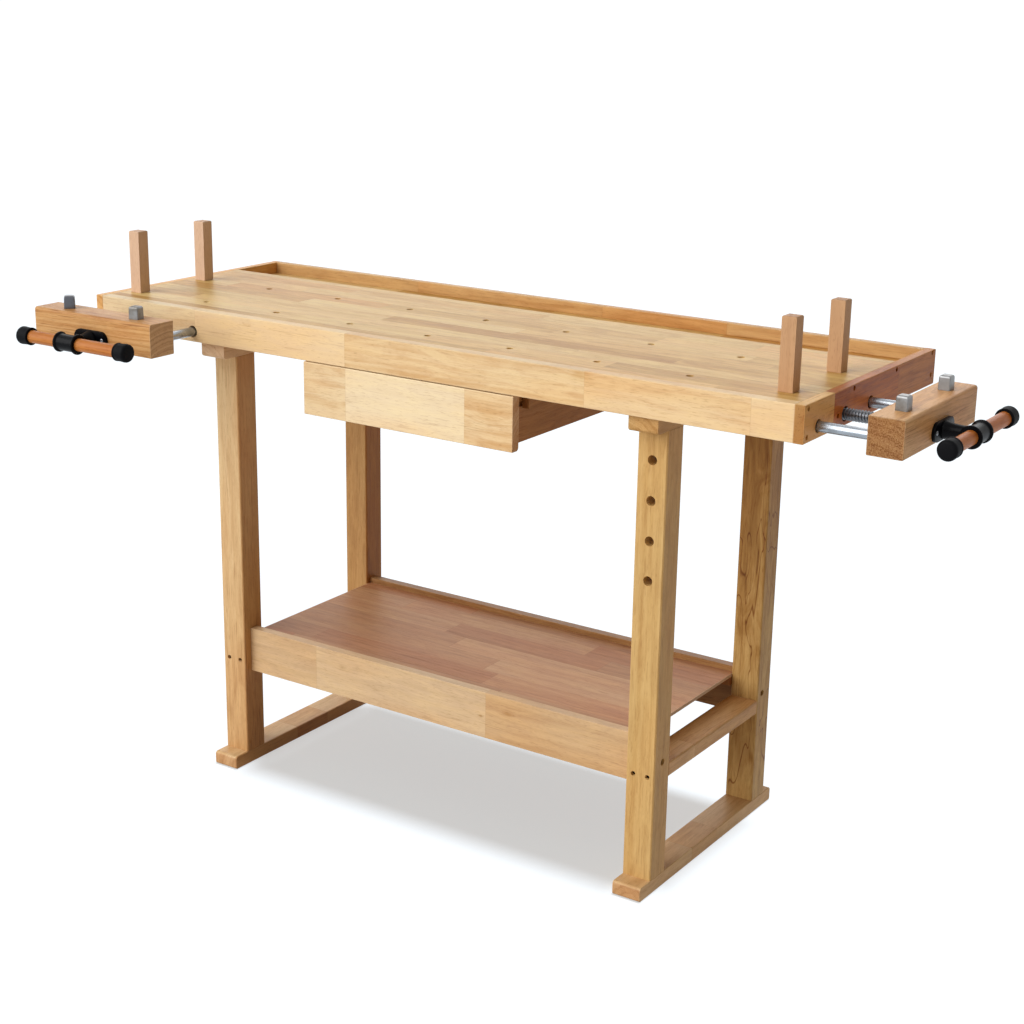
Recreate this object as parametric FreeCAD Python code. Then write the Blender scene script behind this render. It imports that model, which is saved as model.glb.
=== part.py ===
"""Woodworking bench with two screw vises, a drawer, a tool tray and bench dogs.

One STEP file is written for each separate piece.  Units are millimetres.  +Z is up, +X runs
to the right-hand end and the front faces -Y.  The origin is on the floor, under the centre of
the bench top.
"""
import FreeCAD
import Part
import os

# ---------------------------------------------------------------- bench top
BENCH_LENGTH = 1400.0
BENCH_WIDTH = 490.0
BENCH_HEIGHT = 860.0
SKIRT_HEIGHT = 57.0            # apron, end caps, rear rail and vise jaws
END_CAP_THICKNESS = 16.0
APRON_THICKNESS = 20.0
REAR_RAIL_THICKNESS = 15.0
SLAB_THICKNESS = 26.0
TOP_EDGE_ROUND = 1.5
TRAY_WIDTH = 113.0
TRAY_DEPTH = 21.0
TRAY_LAP = 6.0                 # tray bottom under the slab's rear edge
TRAY_TONGUE = 5.0              # tray bottom in the rear rail
BATTEN_WIDTH = 30.0
BATTEN_OFFSET = 134.0          # from the middle of the bench
BATTEN_LENGTH = 175.0

# ---------------------------------------------------------------- bench dogs
DOG_HOLE_DIAMETER = 12.0
DOG_COLUMNS = 9
FIRST_COLUMN_INSET = 43.0
LAST_COLUMN_INSET = 59.4
FRONT_ROW_INSET = 69.0
ROW_SPACING = 168.0
DOG_CLEARANCE = 0.05           # around each dog's peg or shank
SEAT_GAP = 0.2                 # under each dog's shoulder
WOODEN_DOG_WIDTH = 23.8
WOODEN_DOG_HEIGHT = 111.0
WOODEN_DOG_CHAMFER = 1.5       # round the top
WOODEN_PEG_LENGTH = 25.0
STEEL_DOG_WIDTH = 19.0
STEEL_DOG_HEIGHT = 22.0
STEEL_DOG_ROUND = 3.0          # round the top
STEEL_SHANK_LENGTH = 26.0
SHANK_END_GAP = 1.0
JAW_DOG_OFFSET = 80.0          # from the vise screw
LEFT_DOG_TURN = 45.0           # degrees, dogs of the front jaw as they stand
RIGHT_DOG_TURN = 10.0

# ---------------------------------------------------------------- screw vises
VISE_INSET = 141.0             # vise centre from the nearest corner of the bench
ROD_OFFSET = 93.0              # guide rod from the screw
SCREW_DROP = 39.0              # screw and rods below the bench surface
GUIDE_ROD_DIAMETER = 16.0
SCREW_DIAMETER = 19.0
JAW_LENGTH = 275.0
JAW_THICKNESS = 55.0
JAW_OPENING = 93.0
JAW_TOP_ROUND = 5.0
JAW_LOWER_ROUND = 2.0
JAW_CLOSED_GAP = 0.5
ROD_SOCKET_DEPTH = 45.0
PRESS_CLEARANCE = 0.05
RUNNING_CLEARANCE = 0.05
BODY_CLEARANCE = 0.5           # screw through the jaw, plate and guide block
SKIRT_HOLE_CLEARANCE = 2.2     # rods through the apron and the end cap
ROD_TO_FRAME_GAP = 2.5
ROD_END_GAP = 1.5              # closed vise, rod end to frame
GUIDE_BLOCK_LENGTH = 60.0
GUIDE_BLOCK_MARGIN = 20.0
NUT_PLATE_WIDTH = 46.0
NUT_PLATE_HEIGHT = 25.0
NUT_PLATE_THICKNESS = 12.0
THRUST_PLATE_LENGTH = 76.0
THRUST_PLATE_HEIGHT = 29.0
THRUST_PLATE_THICKNESS = 5.0
NECK_DIAMETER = 15.0
THRUST_GAP = 0.3
HEAD_BASE_DIAMETER = 28.0
HEAD_WAIST_DIAMETER = 20.0
HUB_REACH = 52.0               # hub centre in front of the jaw
HUB_LENGTH = 46.0
HUB_DIAMETER = 29.0
HUB_RIM_DIAMETER = 34.5
HUB_RIM_WIDTH = 4.0
HANDLE_DIAMETER = 22.0
HANDLE_LENGTH = 256.0
HANDLE_SHIFT = 12.0
HANDLE_CLEARANCE = 0.3
HANDLE_CAP_DIAMETER = 31.0
HANDLE_CAP_LENGTH = 26.0
HANDLE_CAP_SOCKET = 20.0

# ---------------------------------------------------------------- leg frames
LEG_WIDTH = 52.0
LEG_DEPTH = 48.0
LEG_CHAMFER = 1.8
FRONT_LEG_SETBACK = 42.5       # legs, in from the top's front and rear edges
REAR_LEG_SETBACK = 37.5
RIGHT_FRAME_SHIFT = 5.5        # right-hand frame, nearer its end than the left-hand one
FOOT_SETBACK = 10.0
FOOT_HEIGHT = 24.0
FOOT_ROUND = 6.0
FOOT_BEVEL = 2.0
TOP_RAIL_HEIGHT = 26.0
SIDE_RAIL_HEIGHT = 25.0
SIDE_RAIL_BOTTOM = 192.0
TENON_LENGTH = 15.0
TENON_THICKNESS = 18.0
TENON_WIDTH = 32.0
TENON_CLEARANCE = 0.1
STRETCHER_THICKNESS = 18.0
STRETCHER_HEIGHT = 83.0
STRETCHER_BOTTOM = 183.0
STRETCHER_SETBACK = 16.0
SHELF_THICKNESS = 6.0
SHELF_BELOW_STRETCHER = 10.0
CLEAT_SIZE = 15.0
PEG_HOLE_DIAMETER = 16.0
PEG_HOLE_COUNT = 4
PEG_HOLE_DROP = 49.2           # first peg hole below the top rail
PEG_HOLE_PITCH = 64.7

# ---------------------------------------------------------------- drawer
DRAWER_LENGTH = 423.0
DRAWER_CENTRE = -4.0
DRAWER_FRONT_THICKNESS = 18.0
DRAWER_FRONT_HEIGHT = 90.4
DRAWER_TOP_GAP = 1.6
DRAWER_FRONT_ROUND = 6.0
DRAWER_SIDE_INSET = 7.6
DRAWER_SIDE_THICKNESS = 12.0
DRAWER_SIDE_HEIGHT = 80.0
DRAWER_DEPTH = 380.0
DRAWER_BOTTOM_THICKNESS = 4.0
DRAWER_BOTTOM_RISE = 6.0
DRAWER_SLOT_DEPTH = 5.0
RUNNER_HEIGHT = 7.4
RUNNER_DROP = 20.0             # runner below the apron's lower edge
RUNNER_GAP = 0.3
RUNNER_GROOVE_DEPTH = 5.0
HANGER_THICKNESS = 12.0
HANGER_GAP = 2.0
HANGER_HEIGHT = 58.0
HANGER_START = 36.0            # from the front face of the bench
HANGER_LENGTH = 404.0

# ---------------------------------------------------------------- shared levels and lines
LEFT = -BENCH_LENGTH / 2
RIGHT = BENCH_LENGTH / 2
FRONT = -BENCH_WIDTH / 2
REAR = BENCH_WIDTH / 2
SKIRT_BOTTOM = BENCH_HEIGHT - SKIRT_HEIGHT
SLAB_BOTTOM = BENCH_HEIGHT - SLAB_THICKNESS
SLAB_FRONT = FRONT + APRON_THICKNESS
RAIL_FACE = REAR - REAR_RAIL_THICKNESS
SLAB_REAR = RAIL_FACE - TRAY_WIDTH
TRAY_FLOOR = BENCH_HEIGHT - TRAY_DEPTH
INNER_LEFT = LEFT + END_CAP_THICKNESS
INNER_RIGHT = RIGHT - END_CAP_THICKNESS
ROD_RADIUS = GUIDE_ROD_DIAMETER / 2
SCREW_RADIUS = SCREW_DIAMETER / 2
SCREW_LEVEL = BENCH_HEIGHT - SCREW_DROP
FRAME_INSET = VISE_INSET + ROD_OFFSET + ROD_RADIUS + ROD_TO_FRAME_GAP
FRAME_LEFT = LEFT + FRAME_INSET
FRAME_RIGHT = RIGHT - FRAME_INSET + RIGHT_FRAME_SHIFT - LEG_WIDTH
RAIL_BOTTOM = SKIRT_BOTTOM - TOP_RAIL_HEIGHT
RUNNER_CENTRE = SKIRT_BOTTOM - RUNNER_DROP
ROD_REACH = FRAME_INSET - RIGHT_FRAME_SHIFT - ROD_END_GAP - JAW_OPENING + JAW_CLOSED_GAP
STRETCHER_TOP = STRETCHER_BOTTOM + STRETCHER_HEIGHT
SHELF_TOP = STRETCHER_TOP - SHELF_BELOW_STRETCHER
LEG_FRONT = FRONT + FRONT_LEG_SETBACK
LEG_REAR = REAR - REAR_LEG_SETBACK - LEG_DEPTH
COLUMN_PITCH = (BENCH_LENGTH - FIRST_COLUMN_INSET - LAST_COLUMN_INSET) / (DOG_COLUMNS - 1)
DOG_ROWS = (FRONT + FRONT_ROW_INSET, FRONT + FRONT_ROW_INSET + ROW_SPACING)

X_AXIS = FreeCAD.Vector(1, 0, 0)
Y_AXIS = FreeCAD.Vector(0, 1, 0)
Z_AXIS = FreeCAD.Vector(0, 0, 1)
FRONT_VISE = FreeCAD.Placement(
    FreeCAD.Vector(LEFT + VISE_INSET, FRONT, SCREW_LEVEL), FreeCAD.Rotation(Z_AXIS, 0))
END_VISE = FreeCAD.Placement(
    FreeCAD.Vector(RIGHT, FRONT + VISE_INSET, SCREW_LEVEL), FreeCAD.Rotation(Z_AXIS, 90))


# ---------------------------------------------------------------- helpers
def box(x0, x1, y0, y1, z0, z1):
    """A block between two corners."""
    return Part.makeBox(x1 - x0, y1 - y0, z1 - z0, FreeCAD.Vector(x0, y0, z0))


def cylinder(radius, x, y, z, length, direction):
    """A round bar from a point along a direction."""
    return Part.makeCylinder(radius, length, FreeCAD.Vector(x, y, z), direction)


def edges_at(shape, **place):
    """The edges that lie wholly at the given coordinates."""
    found = []
    for edge in shape.Edges:
        points = [vertex.Point for vertex in edge.Vertexes]
        if all(abs(getattr(p, axis) - value) < 0.01 for p in points for axis, value in place.items()):
            found.append(edge)
    return found


def eased(shape, radius, *places):
    """Round the edges found at each place."""
    edges = []
    for place in places:
        edges.extend(edges_at(shape, **place))
    return shape.makeFillet(radius, edges)


def bevelled(shape, size, *places):
    """Chamfer the edges found at each place."""
    edges = []
    for place in places:
        edges.extend(edges_at(shape, **place))
    return shape.makeChamfer(size, edges)


def long_edges(shape, first, second):
    """The four corner lines of a block, seen along its length."""
    bounds = shape.BoundBox
    low = {"x": bounds.XMin, "y": bounds.YMin, "z": bounds.ZMin}
    high = {"x": bounds.XMax, "y": bounds.YMax, "z": bounds.ZMax}
    return [{first: a[first], second: b[second]} for a in (low, high) for b in (low, high)]


def cut_all(shape, tools):
    """Take a list of tools away from a shape."""
    return shape.cut(Part.makeCompound(tools)) if tools else shape


def placed(shape, placement):
    """A copy of a shape moved to a placement."""
    moved = shape.copy()
    moved.Placement = placement.multiply(moved.Placement)
    return moved


def column_x(column):
    """Centre of a column of dog holes."""
    return LEFT + FIRST_COLUMN_INSET + column * COLUMN_PITCH


# ---------------------------------------------------------------- bench top
def dog_hole(x, y, bottom):
    """The bore of one dog hole, from a level up through the surface."""
    return cylinder(DOG_HOLE_DIAMETER / 2, x, y, bottom, BENCH_HEIGHT - bottom + 1.0, Z_AXIS)


def open_block_hole():
    """The front-row hole that runs on down through the front guide block."""
    return dog_hole(column_x(1), DOG_ROWS[0], SKIRT_BOTTOM - 1.0)


def top_slab():
    """The work surface, bored for dogs, rebated over the tray bottom."""
    slab = box(INNER_LEFT, INNER_RIGHT, SLAB_FRONT, SLAB_REAR, SLAB_BOTTOM, BENCH_HEIGHT)
    slab = eased(slab, TOP_EDGE_ROUND, {"y": SLAB_REAR, "z": BENCH_HEIGHT})
    holes = [dog_hole(column_x(column), row, SLAB_BOTTOM - 1.0)
             for column in range(DOG_COLUMNS) for row in DOG_ROWS]
    rebate = box(INNER_LEFT, INNER_RIGHT, SLAB_REAR - TRAY_LAP, SLAB_REAR, SLAB_BOTTOM, TRAY_FLOOR)
    return cut_all(slab, holes + [rebate])


def front_apron():
    """The thick front edge, bored for the front vise."""
    apron = box(INNER_LEFT, INNER_RIGHT, FRONT, SLAB_FRONT, SKIRT_BOTTOM, BENCH_HEIGHT)
    apron = eased(apron, TOP_EDGE_ROUND, {"y": FRONT, "z": BENCH_HEIGHT}, {"y": FRONT, "z": SKIRT_BOTTOM})
    return cut_all(apron, skirt_holes(FRONT_VISE))


def end_cap(left):
    """A full-width end board."""
    cap = box(left, left + END_CAP_THICKNESS, FRONT, REAR, SKIRT_BOTTOM, BENCH_HEIGHT)
    outer = left if left < 0 else left + END_CAP_THICKNESS
    cap = eased(cap, TOP_EDGE_ROUND, {"x": outer, "z": BENCH_HEIGHT}, {"x": outer, "z": SKIRT_BOTTOM})
    return cut_all(cap, skirt_holes(END_VISE) if left > 0 else [])


def rear_rail():
    """The back board, grooved for the tray bottom."""
    rail = box(INNER_LEFT, INNER_RIGHT, RAIL_FACE, REAR, SKIRT_BOTTOM, BENCH_HEIGHT)
    rail = eased(rail, TOP_EDGE_ROUND, {"y": RAIL_FACE, "z": BENCH_HEIGHT}, {"y": REAR, "z": BENCH_HEIGHT})
    groove = box(INNER_LEFT, INNER_RIGHT, RAIL_FACE, RAIL_FACE + TRAY_TONGUE, SLAB_BOTTOM, TRAY_FLOOR)
    return rail.cut(groove)


def tray_bottom():
    """The thin floor of the tool tray."""
    return box(INNER_LEFT, INNER_RIGHT, SLAB_REAR - TRAY_LAP, RAIL_FACE + TRAY_TONGUE,
               SLAB_BOTTOM, TRAY_FLOOR)


def tray_battens():
    """Two cross battens under the tray bottom."""
    battens = []
    for x in (-BATTEN_OFFSET, BATTEN_OFFSET):
        battens.append(box(x - BATTEN_WIDTH / 2, x + BATTEN_WIDTH / 2, RAIL_FACE - BATTEN_LENGTH,
                           RAIL_FACE, SKIRT_BOTTOM, SLAB_BOTTOM))
    return Part.makeCompound(battens)


def top_bearer(left, start):
    """A spacer between a leg frame and the slab."""
    return box(left, left + LEG_WIDTH, start, RAIL_FACE, SKIRT_BOTTOM, SLAB_BOTTOM)


# ---------------------------------------------------------------- leg frames
def tenon(left, y, z, extra=0.0):
    """The stub at one end of a leg, or its mortise when extra is given."""
    x = left + LEG_WIDTH / 2
    middle = y + LEG_DEPTH / 2
    half_x = TENON_THICKNESS / 2 + extra
    half_y = TENON_WIDTH / 2 + extra
    return box(x - half_x, x + half_x, middle - half_y, middle + half_y, z, z + TENON_LENGTH)


def leg(left, y):
    """A leg with a stub tenon at each end."""
    post = box(left, left + LEG_WIDTH, y, y + LEG_DEPTH, FOOT_HEIGHT, RAIL_BOTTOM)
    post = bevelled(post, LEG_CHAMFER, *long_edges(post, "x", "y"))
    return post.fuse([tenon(left, y, FOOT_HEIGHT - TENON_LENGTH), tenon(left, y, RAIL_BOTTOM)])


def leg_with_peg_holes(left, y):
    """A leg bored with a column of support-peg holes."""
    x = left + LEG_WIDTH / 2
    first = RAIL_BOTTOM - PEG_HOLE_DROP
    holes = [cylinder(PEG_HOLE_DIAMETER / 2, x, y - 1.0, first - row * PEG_HOLE_PITCH,
                      LEG_DEPTH + 2.0, Y_AXIS) for row in range(PEG_HOLE_COUNT)]
    return cut_all(leg(left, y), holes)


def cross_member(left, bottom, height, rounded, bevel_level):
    """A full-depth rail across a frame, its ends rounded at one level and bevelled at the other."""
    start = FRONT + FOOT_SETBACK
    rail = box(left, left + LEG_WIDTH, start, -start, bottom, bottom + height)
    rail = eased(rail, FOOT_ROUND, {"y": start, "z": rounded}, {"y": -start, "z": rounded})
    return bevelled(rail, FOOT_BEVEL, {"y": start, "z": bevel_level}, {"y": -start, "z": bevel_level})


def foot(left):
    """A foot with two mortises."""
    mortises = [tenon(left, y, FOOT_HEIGHT - TENON_LENGTH, TENON_CLEARANCE) for y in (LEG_FRONT, LEG_REAR)]
    return cut_all(cross_member(left, 0.0, FOOT_HEIGHT, FOOT_HEIGHT, 0.0), mortises)


def top_rail(left):
    """The rail on top of a frame, with two mortises."""
    mortises = [tenon(left, y, RAIL_BOTTOM, TENON_CLEARANCE) for y in (LEG_FRONT, LEG_REAR)]
    rail = cross_member(left, RAIL_BOTTOM, TOP_RAIL_HEIGHT, RAIL_BOTTOM, SKIRT_BOTTOM)
    return cut_all(rail, mortises)


def side_rail(left):
    """The low rail between the two legs of a frame."""
    rail = box(left, left + LEG_WIDTH, LEG_FRONT + LEG_DEPTH, LEG_REAR,
               SIDE_RAIL_BOTTOM, SIDE_RAIL_BOTTOM + SIDE_RAIL_HEIGHT)
    return bevelled(rail, LEG_CHAMFER, *long_edges(rail, "x", "z"))


def front_stretcher_centre():
    """Middle line of the front stretcher; the rear one mirrors it."""
    return LEG_FRONT + STRETCHER_SETBACK + STRETCHER_THICKNESS / 2


def stretcher(centre):
    """A long board on edge between the frames."""
    return box(FRAME_LEFT + LEG_WIDTH, FRAME_RIGHT, centre - STRETCHER_THICKNESS / 2,
               centre + STRETCHER_THICKNESS / 2, STRETCHER_BOTTOM, STRETCHER_TOP)


def shelf_board():
    """The thin shelf between the stretchers."""
    inner = front_stretcher_centre() + STRETCHER_THICKNESS / 2
    return box(FRAME_LEFT + LEG_WIDTH, FRAME_RIGHT, inner, -inner, SHELF_TOP - SHELF_THICKNESS, SHELF_TOP)


def shelf_cleats():
    """Strips on the stretchers that carry the shelf."""
    inner = front_stretcher_centre() + STRETCHER_THICKNESS / 2
    top = SHELF_TOP - SHELF_THICKNESS
    cleats = []
    for y in (inner, -inner - CLEAT_SIZE):
        cleats.append(box(FRAME_LEFT + LEG_WIDTH, FRAME_RIGHT, y, y + CLEAT_SIZE, top - CLEAT_SIZE, top))
    return Part.makeCompound(cleats)


# ---------------------------------------------------------------- screw vises
# Each vise is drawn with its screw along Y through the origin, the bench behind y = 0.
def skirt_holes(placement):
    """Clearance holes for the rods and screw through the apron or the end cap."""
    depth = max(APRON_THICKNESS, END_CAP_THICKNESS) + 2.0
    holes = [cylinder(ROD_RADIUS + SKIRT_HOLE_CLEARANCE, x, -1.0, 0, depth, Y_AXIS)
             for x in (-ROD_OFFSET, ROD_OFFSET)]
    holes.append(cylinder(SCREW_RADIUS + SKIRT_HOLE_CLEARANCE, 0, -1.0, 0, depth, Y_AXIS))
    return [placed(hole, placement) for hole in holes]


def guide_rods():
    """Two steel rods pressed into the jaw."""
    start = -JAW_OPENING - ROD_SOCKET_DEPTH
    return Part.makeCompound([cylinder(ROD_RADIUS, x, start, 0, ROD_REACH - start, Y_AXIS)
                              for x in (-ROD_OFFSET, ROD_OFFSET)])


def jaw():
    """The wooden jaw, bored for rods, screw and two steel dogs."""
    inner = -JAW_OPENING
    outer = inner - JAW_THICKNESS
    top = SCREW_DROP
    bottom = SCREW_DROP - SKIRT_HEIGHT
    body = box(-JAW_LENGTH / 2, JAW_LENGTH / 2, outer, inner, bottom, top)
    body = eased(body, JAW_TOP_ROUND, {"y": outer, "z": top})
    body = eased(body, JAW_LOWER_ROUND, {"y": outer, "z": bottom}, {"y": inner, "z": bottom})
    sockets = [cylinder(ROD_RADIUS + PRESS_CLEARANCE, x, inner - ROD_SOCKET_DEPTH, 0,
                        ROD_SOCKET_DEPTH + 1.0, Y_AXIS) for x in (-ROD_OFFSET, ROD_OFFSET)]
    passage = cylinder(SCREW_RADIUS + BODY_CLEARANCE, 0, outer - 1.0, 0, JAW_THICKNESS + 2.0, Y_AXIS)
    return cut_all(body, sockets + [passage])


def jaw_with_dog_bores(placement, places):
    """A jaw in position, bored where its dogs stand."""
    bottom = BENCH_HEIGHT - STEEL_SHANK_LENGTH - SHANK_END_GAP
    return cut_all(placed(jaw(), placement), [dog_hole(x, y, bottom) for x, y in places])


def thrust_plate():
    """The oval plate on the jaw that the screw pushes and pulls against."""
    outer = -JAW_OPENING - JAW_THICKNESS
    radius = THRUST_PLATE_HEIGHT / 2
    middle = THRUST_PLATE_LENGTH / 2 - radius
    plate = box(-middle, middle, outer - THRUST_PLATE_THICKNESS, outer, -radius, radius)
    ends = [cylinder(radius, x, outer - THRUST_PLATE_THICKNESS, 0, THRUST_PLATE_THICKNESS, Y_AXIS)
            for x in (-middle, middle)]
    hole = cylinder(NECK_DIAMETER / 2 + BODY_CLEARANCE, 0, outer - THRUST_PLATE_THICKNESS - 1.0, 0,
                    THRUST_PLATE_THICKNESS + 2.0, Y_AXIS)
    return plate.fuse(ends).cut(hole).removeSplitter()


def vise_screw():
    """The screw's plain envelope: the thread's outer size, with a turned neck."""
    shoulder = -JAW_OPENING - JAW_THICKNESS + THRUST_GAP
    neck_end = shoulder - THRUST_PLATE_THICKNESS - 2 * THRUST_GAP
    bar = cylinder(SCREW_RADIUS, 0, shoulder, 0, ROD_REACH - shoulder, Y_AXIS)
    neck = cylinder(NECK_DIAMETER / 2, 0, neck_end, 0, shoulder - neck_end, Y_AXIS)
    return bar.fuse(neck).removeSplitter()


def screw_head():
    """A neck that narrows to a rimmed cross hub, bored for the handle."""
    face = -JAW_OPENING - JAW_THICKNESS - THRUST_PLATE_THICKNESS - THRUST_GAP
    hub_y = -JAW_OPENING - JAW_THICKNESS - HUB_REACH
    neck = Part.makeCone(HEAD_BASE_DIAMETER / 2, HEAD_WAIST_DIAMETER / 2, face - hub_y,
                         FreeCAD.Vector(0, face, 0), -Y_AXIS)
    hub = cylinder(HUB_DIAMETER / 2, -HUB_LENGTH / 2, hub_y, 0, HUB_LENGTH, X_AXIS)
    rims = [cylinder(HUB_RIM_DIAMETER / 2, x, hub_y, 0, HUB_RIM_WIDTH, X_AXIS)
            for x in (-HUB_LENGTH / 2, HUB_LENGTH / 2 - HUB_RIM_WIDTH)]
    bore = cylinder(HANDLE_DIAMETER / 2 + HANDLE_CLEARANCE, -HUB_LENGTH, hub_y, 0,
                    2 * HUB_LENGTH, X_AXIS)
    return neck.fuse([hub] + rims).cut(bore).removeSplitter()


def handle_ends():
    """The two ends of the handle, along the vise's own X."""
    return HANDLE_SHIFT - HANDLE_LENGTH / 2, HANDLE_SHIFT + HANDLE_LENGTH / 2


def handle():
    """The turned wooden bar that slides through the screw head."""
    low, high = handle_ends()
    inset = HANDLE_CAP_LENGTH - HANDLE_CAP_SOCKET
    hub_y = -JAW_OPENING - JAW_THICKNESS - HUB_REACH
    return cylinder(HANDLE_DIAMETER / 2, low + inset, hub_y, 0, high - low - 2 * inset, X_AXIS)


def handle_caps():
    """Two end caps, bored to fit over the handle."""
    low, high = handle_ends()
    hub_y = -JAW_OPENING - JAW_THICKNESS - HUB_REACH
    caps = []
    for end, direction in ((low, X_AXIS), (high, -X_AXIS)):
        cap = cylinder(HANDLE_CAP_DIAMETER / 2, end, hub_y, 0, HANDLE_CAP_LENGTH, direction)
        start = end + direction.x * (HANDLE_CAP_LENGTH - HANDLE_CAP_SOCKET)
        caps.append(cap.cut(cylinder(HANDLE_DIAMETER / 2 + PRESS_CLEARANCE, start, hub_y, 0,
                                     HANDLE_CAP_SOCKET + 1.0, direction)))
    return Part.makeCompound(caps)


def fixed_nut(start):
    """The nut plate on the guide block's inner face."""
    end = start + GUIDE_BLOCK_LENGTH
    plate = box(-NUT_PLATE_WIDTH / 2, NUT_PLATE_WIDTH / 2, end, end + NUT_PLATE_THICKNESS,
                -NUT_PLATE_HEIGHT / 2, NUT_PLATE_HEIGHT / 2)
    return plate.cut(cylinder(SCREW_RADIUS + RUNNING_CLEARANCE, 0, end - 1.0, 0,
                              NUT_PLATE_THICKNESS + 2.0, Y_AXIS))


def block_holes(start):
    """Running bores for the rods and a clearance hole for the screw."""
    bores = [cylinder(ROD_RADIUS + RUNNING_CLEARANCE, x, start - 1.0, 0, GUIDE_BLOCK_LENGTH + 2.0,
                      Y_AXIS) for x in (-ROD_OFFSET, ROD_OFFSET)]
    bores.append(cylinder(SCREW_RADIUS + BODY_CLEARANCE, 0, start - 1.0, 0,
                          GUIDE_BLOCK_LENGTH + 2.0, Y_AXIS))
    return bores


def front_guide_block():
    """The block behind the apron, running over the left-hand frame."""
    body = box(INNER_LEFT, FRAME_LEFT + LEG_WIDTH, SLAB_FRONT, SLAB_FRONT + GUIDE_BLOCK_LENGTH,
               SKIRT_BOTTOM, SLAB_BOTTOM)
    holes = [placed(hole, FRONT_VISE) for hole in block_holes(APRON_THICKNESS)]
    return cut_all(body, holes + [open_block_hole()])


def end_guide_block():
    """The block inside the right-hand end cap."""
    width = VISE_INSET + ROD_OFFSET + ROD_RADIUS + GUIDE_BLOCK_MARGIN
    body = box(INNER_RIGHT - GUIDE_BLOCK_LENGTH, INNER_RIGHT, SLAB_FRONT, FRONT + width,
               SKIRT_BOTTOM, SLAB_BOTTOM)
    return cut_all(body, [placed(hole, END_VISE) for hole in block_holes(END_CAP_THICKNESS)])


# ---------------------------------------------------------------- dogs
def dog_peg(x, y, length):
    """The round part that fits a dog hole, from the shoulder down."""
    return cylinder(DOG_HOLE_DIAMETER / 2 - DOG_CLEARANCE, x, y, BENCH_HEIGHT + SEAT_GAP - length,
                    length, Z_AXIS)


def wooden_dog(x, y):
    """A square wooden dog on a round peg."""
    half = WOODEN_DOG_WIDTH / 2
    base = BENCH_HEIGHT + SEAT_GAP
    top = base + WOODEN_DOG_HEIGHT
    head = box(x - half, x + half, y - half, y + half, base, top)
    head = bevelled(head, WOODEN_DOG_CHAMFER, {"z": top})
    return head.fuse(dog_peg(x, y, WOODEN_PEG_LENGTH))


def steel_dog(x, y, turn=0.0):
    """A square steel dog with a rounded top on a round shank, turned about its own axis."""
    half = STEEL_DOG_WIDTH / 2
    base = BENCH_HEIGHT + SEAT_GAP
    top = base + STEEL_DOG_HEIGHT
    head = box(x - half, x + half, y - half, y + half, base, top)
    head = eased(head, STEEL_DOG_ROUND, {"z": top})
    head.rotate(FreeCAD.Vector(x, y, 0), Z_AXIS, turn)
    return head.fuse(dog_peg(x, y, STEEL_SHANK_LENGTH))


def jaw_dog_places(placement):
    """Where the two dogs of a jaw stand, one at each side of the screw."""
    middle = -JAW_OPENING - JAW_THICKNESS / 2
    places = [placement.multVec(FreeCAD.Vector(x, middle, 0)) for x in (-JAW_DOG_OFFSET, JAW_DOG_OFFSET)]
    return [(place.x, place.y) for place in places]


# ---------------------------------------------------------------- drawer
def drawer_edges():
    """Left and right ends of the drawer front."""
    return DRAWER_CENTRE - DRAWER_LENGTH / 2, DRAWER_CENTRE + DRAWER_LENGTH / 2


def drawer_front_levels():
    """Bottom and top of the drawer front."""
    top = SKIRT_BOTTOM - DRAWER_TOP_GAP
    return top - DRAWER_FRONT_HEIGHT, top


def side_levels():
    """Bottom and top of the drawer sides."""
    top = SKIRT_BOTTOM - DRAWER_TOP_GAP - 1.0
    return top - DRAWER_SIDE_HEIGHT, top


def inner_box():
    """Inside faces of the drawer sides."""
    left, right = drawer_edges()
    inset = DRAWER_SIDE_INSET + DRAWER_SIDE_THICKNESS
    return left + inset, right - inset


def drawer_bottom():
    """The thin bottom, let into the front and both sides."""
    low, high = inner_box()
    bottom = side_levels()[0] + DRAWER_BOTTOM_RISE
    back = FRONT + DRAWER_FRONT_THICKNESS
    return box(low - DRAWER_SLOT_DEPTH, high + DRAWER_SLOT_DEPTH, back - DRAWER_SLOT_DEPTH,
               back + DRAWER_DEPTH, bottom, bottom + DRAWER_BOTTOM_THICKNESS)


def drawer_front():
    """The drawer's face, its lower inside edge rounded as a finger pull."""
    left, right = drawer_edges()
    bottom, top = drawer_front_levels()
    back = FRONT + DRAWER_FRONT_THICKNESS
    front = box(left, right, FRONT, back, bottom, top)
    front = eased(front, DRAWER_FRONT_ROUND, {"y": back, "z": bottom})
    front = eased(front, TOP_EDGE_ROUND, {"y": FRONT, "z": bottom}, {"y": FRONT, "z": top})
    return front.cut(drawer_bottom())


def runner_slot(face, direction):
    """The groove a hanger's runner slides in, cut from the side's outer face inwards."""
    y = FRONT + DRAWER_FRONT_THICKNESS
    half = RUNNER_HEIGHT / 2 + RUNNER_GAP
    edges = sorted((face, face + direction * RUNNER_GROOVE_DEPTH))
    return box(edges[0], edges[1], y, y + DRAWER_DEPTH, RUNNER_CENTRE - half, RUNNER_CENTRE + half)


def drawer_side(outer, direction):
    """A drawer side, direction pointing into the drawer."""
    bottom, top = side_levels()
    y = FRONT + DRAWER_FRONT_THICKNESS
    edges = sorted((outer, outer + direction * DRAWER_SIDE_THICKNESS))
    side = box(edges[0], edges[1], y, y + DRAWER_DEPTH, bottom, top)
    return cut_all(side, [runner_slot(outer, direction), drawer_bottom()])


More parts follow.
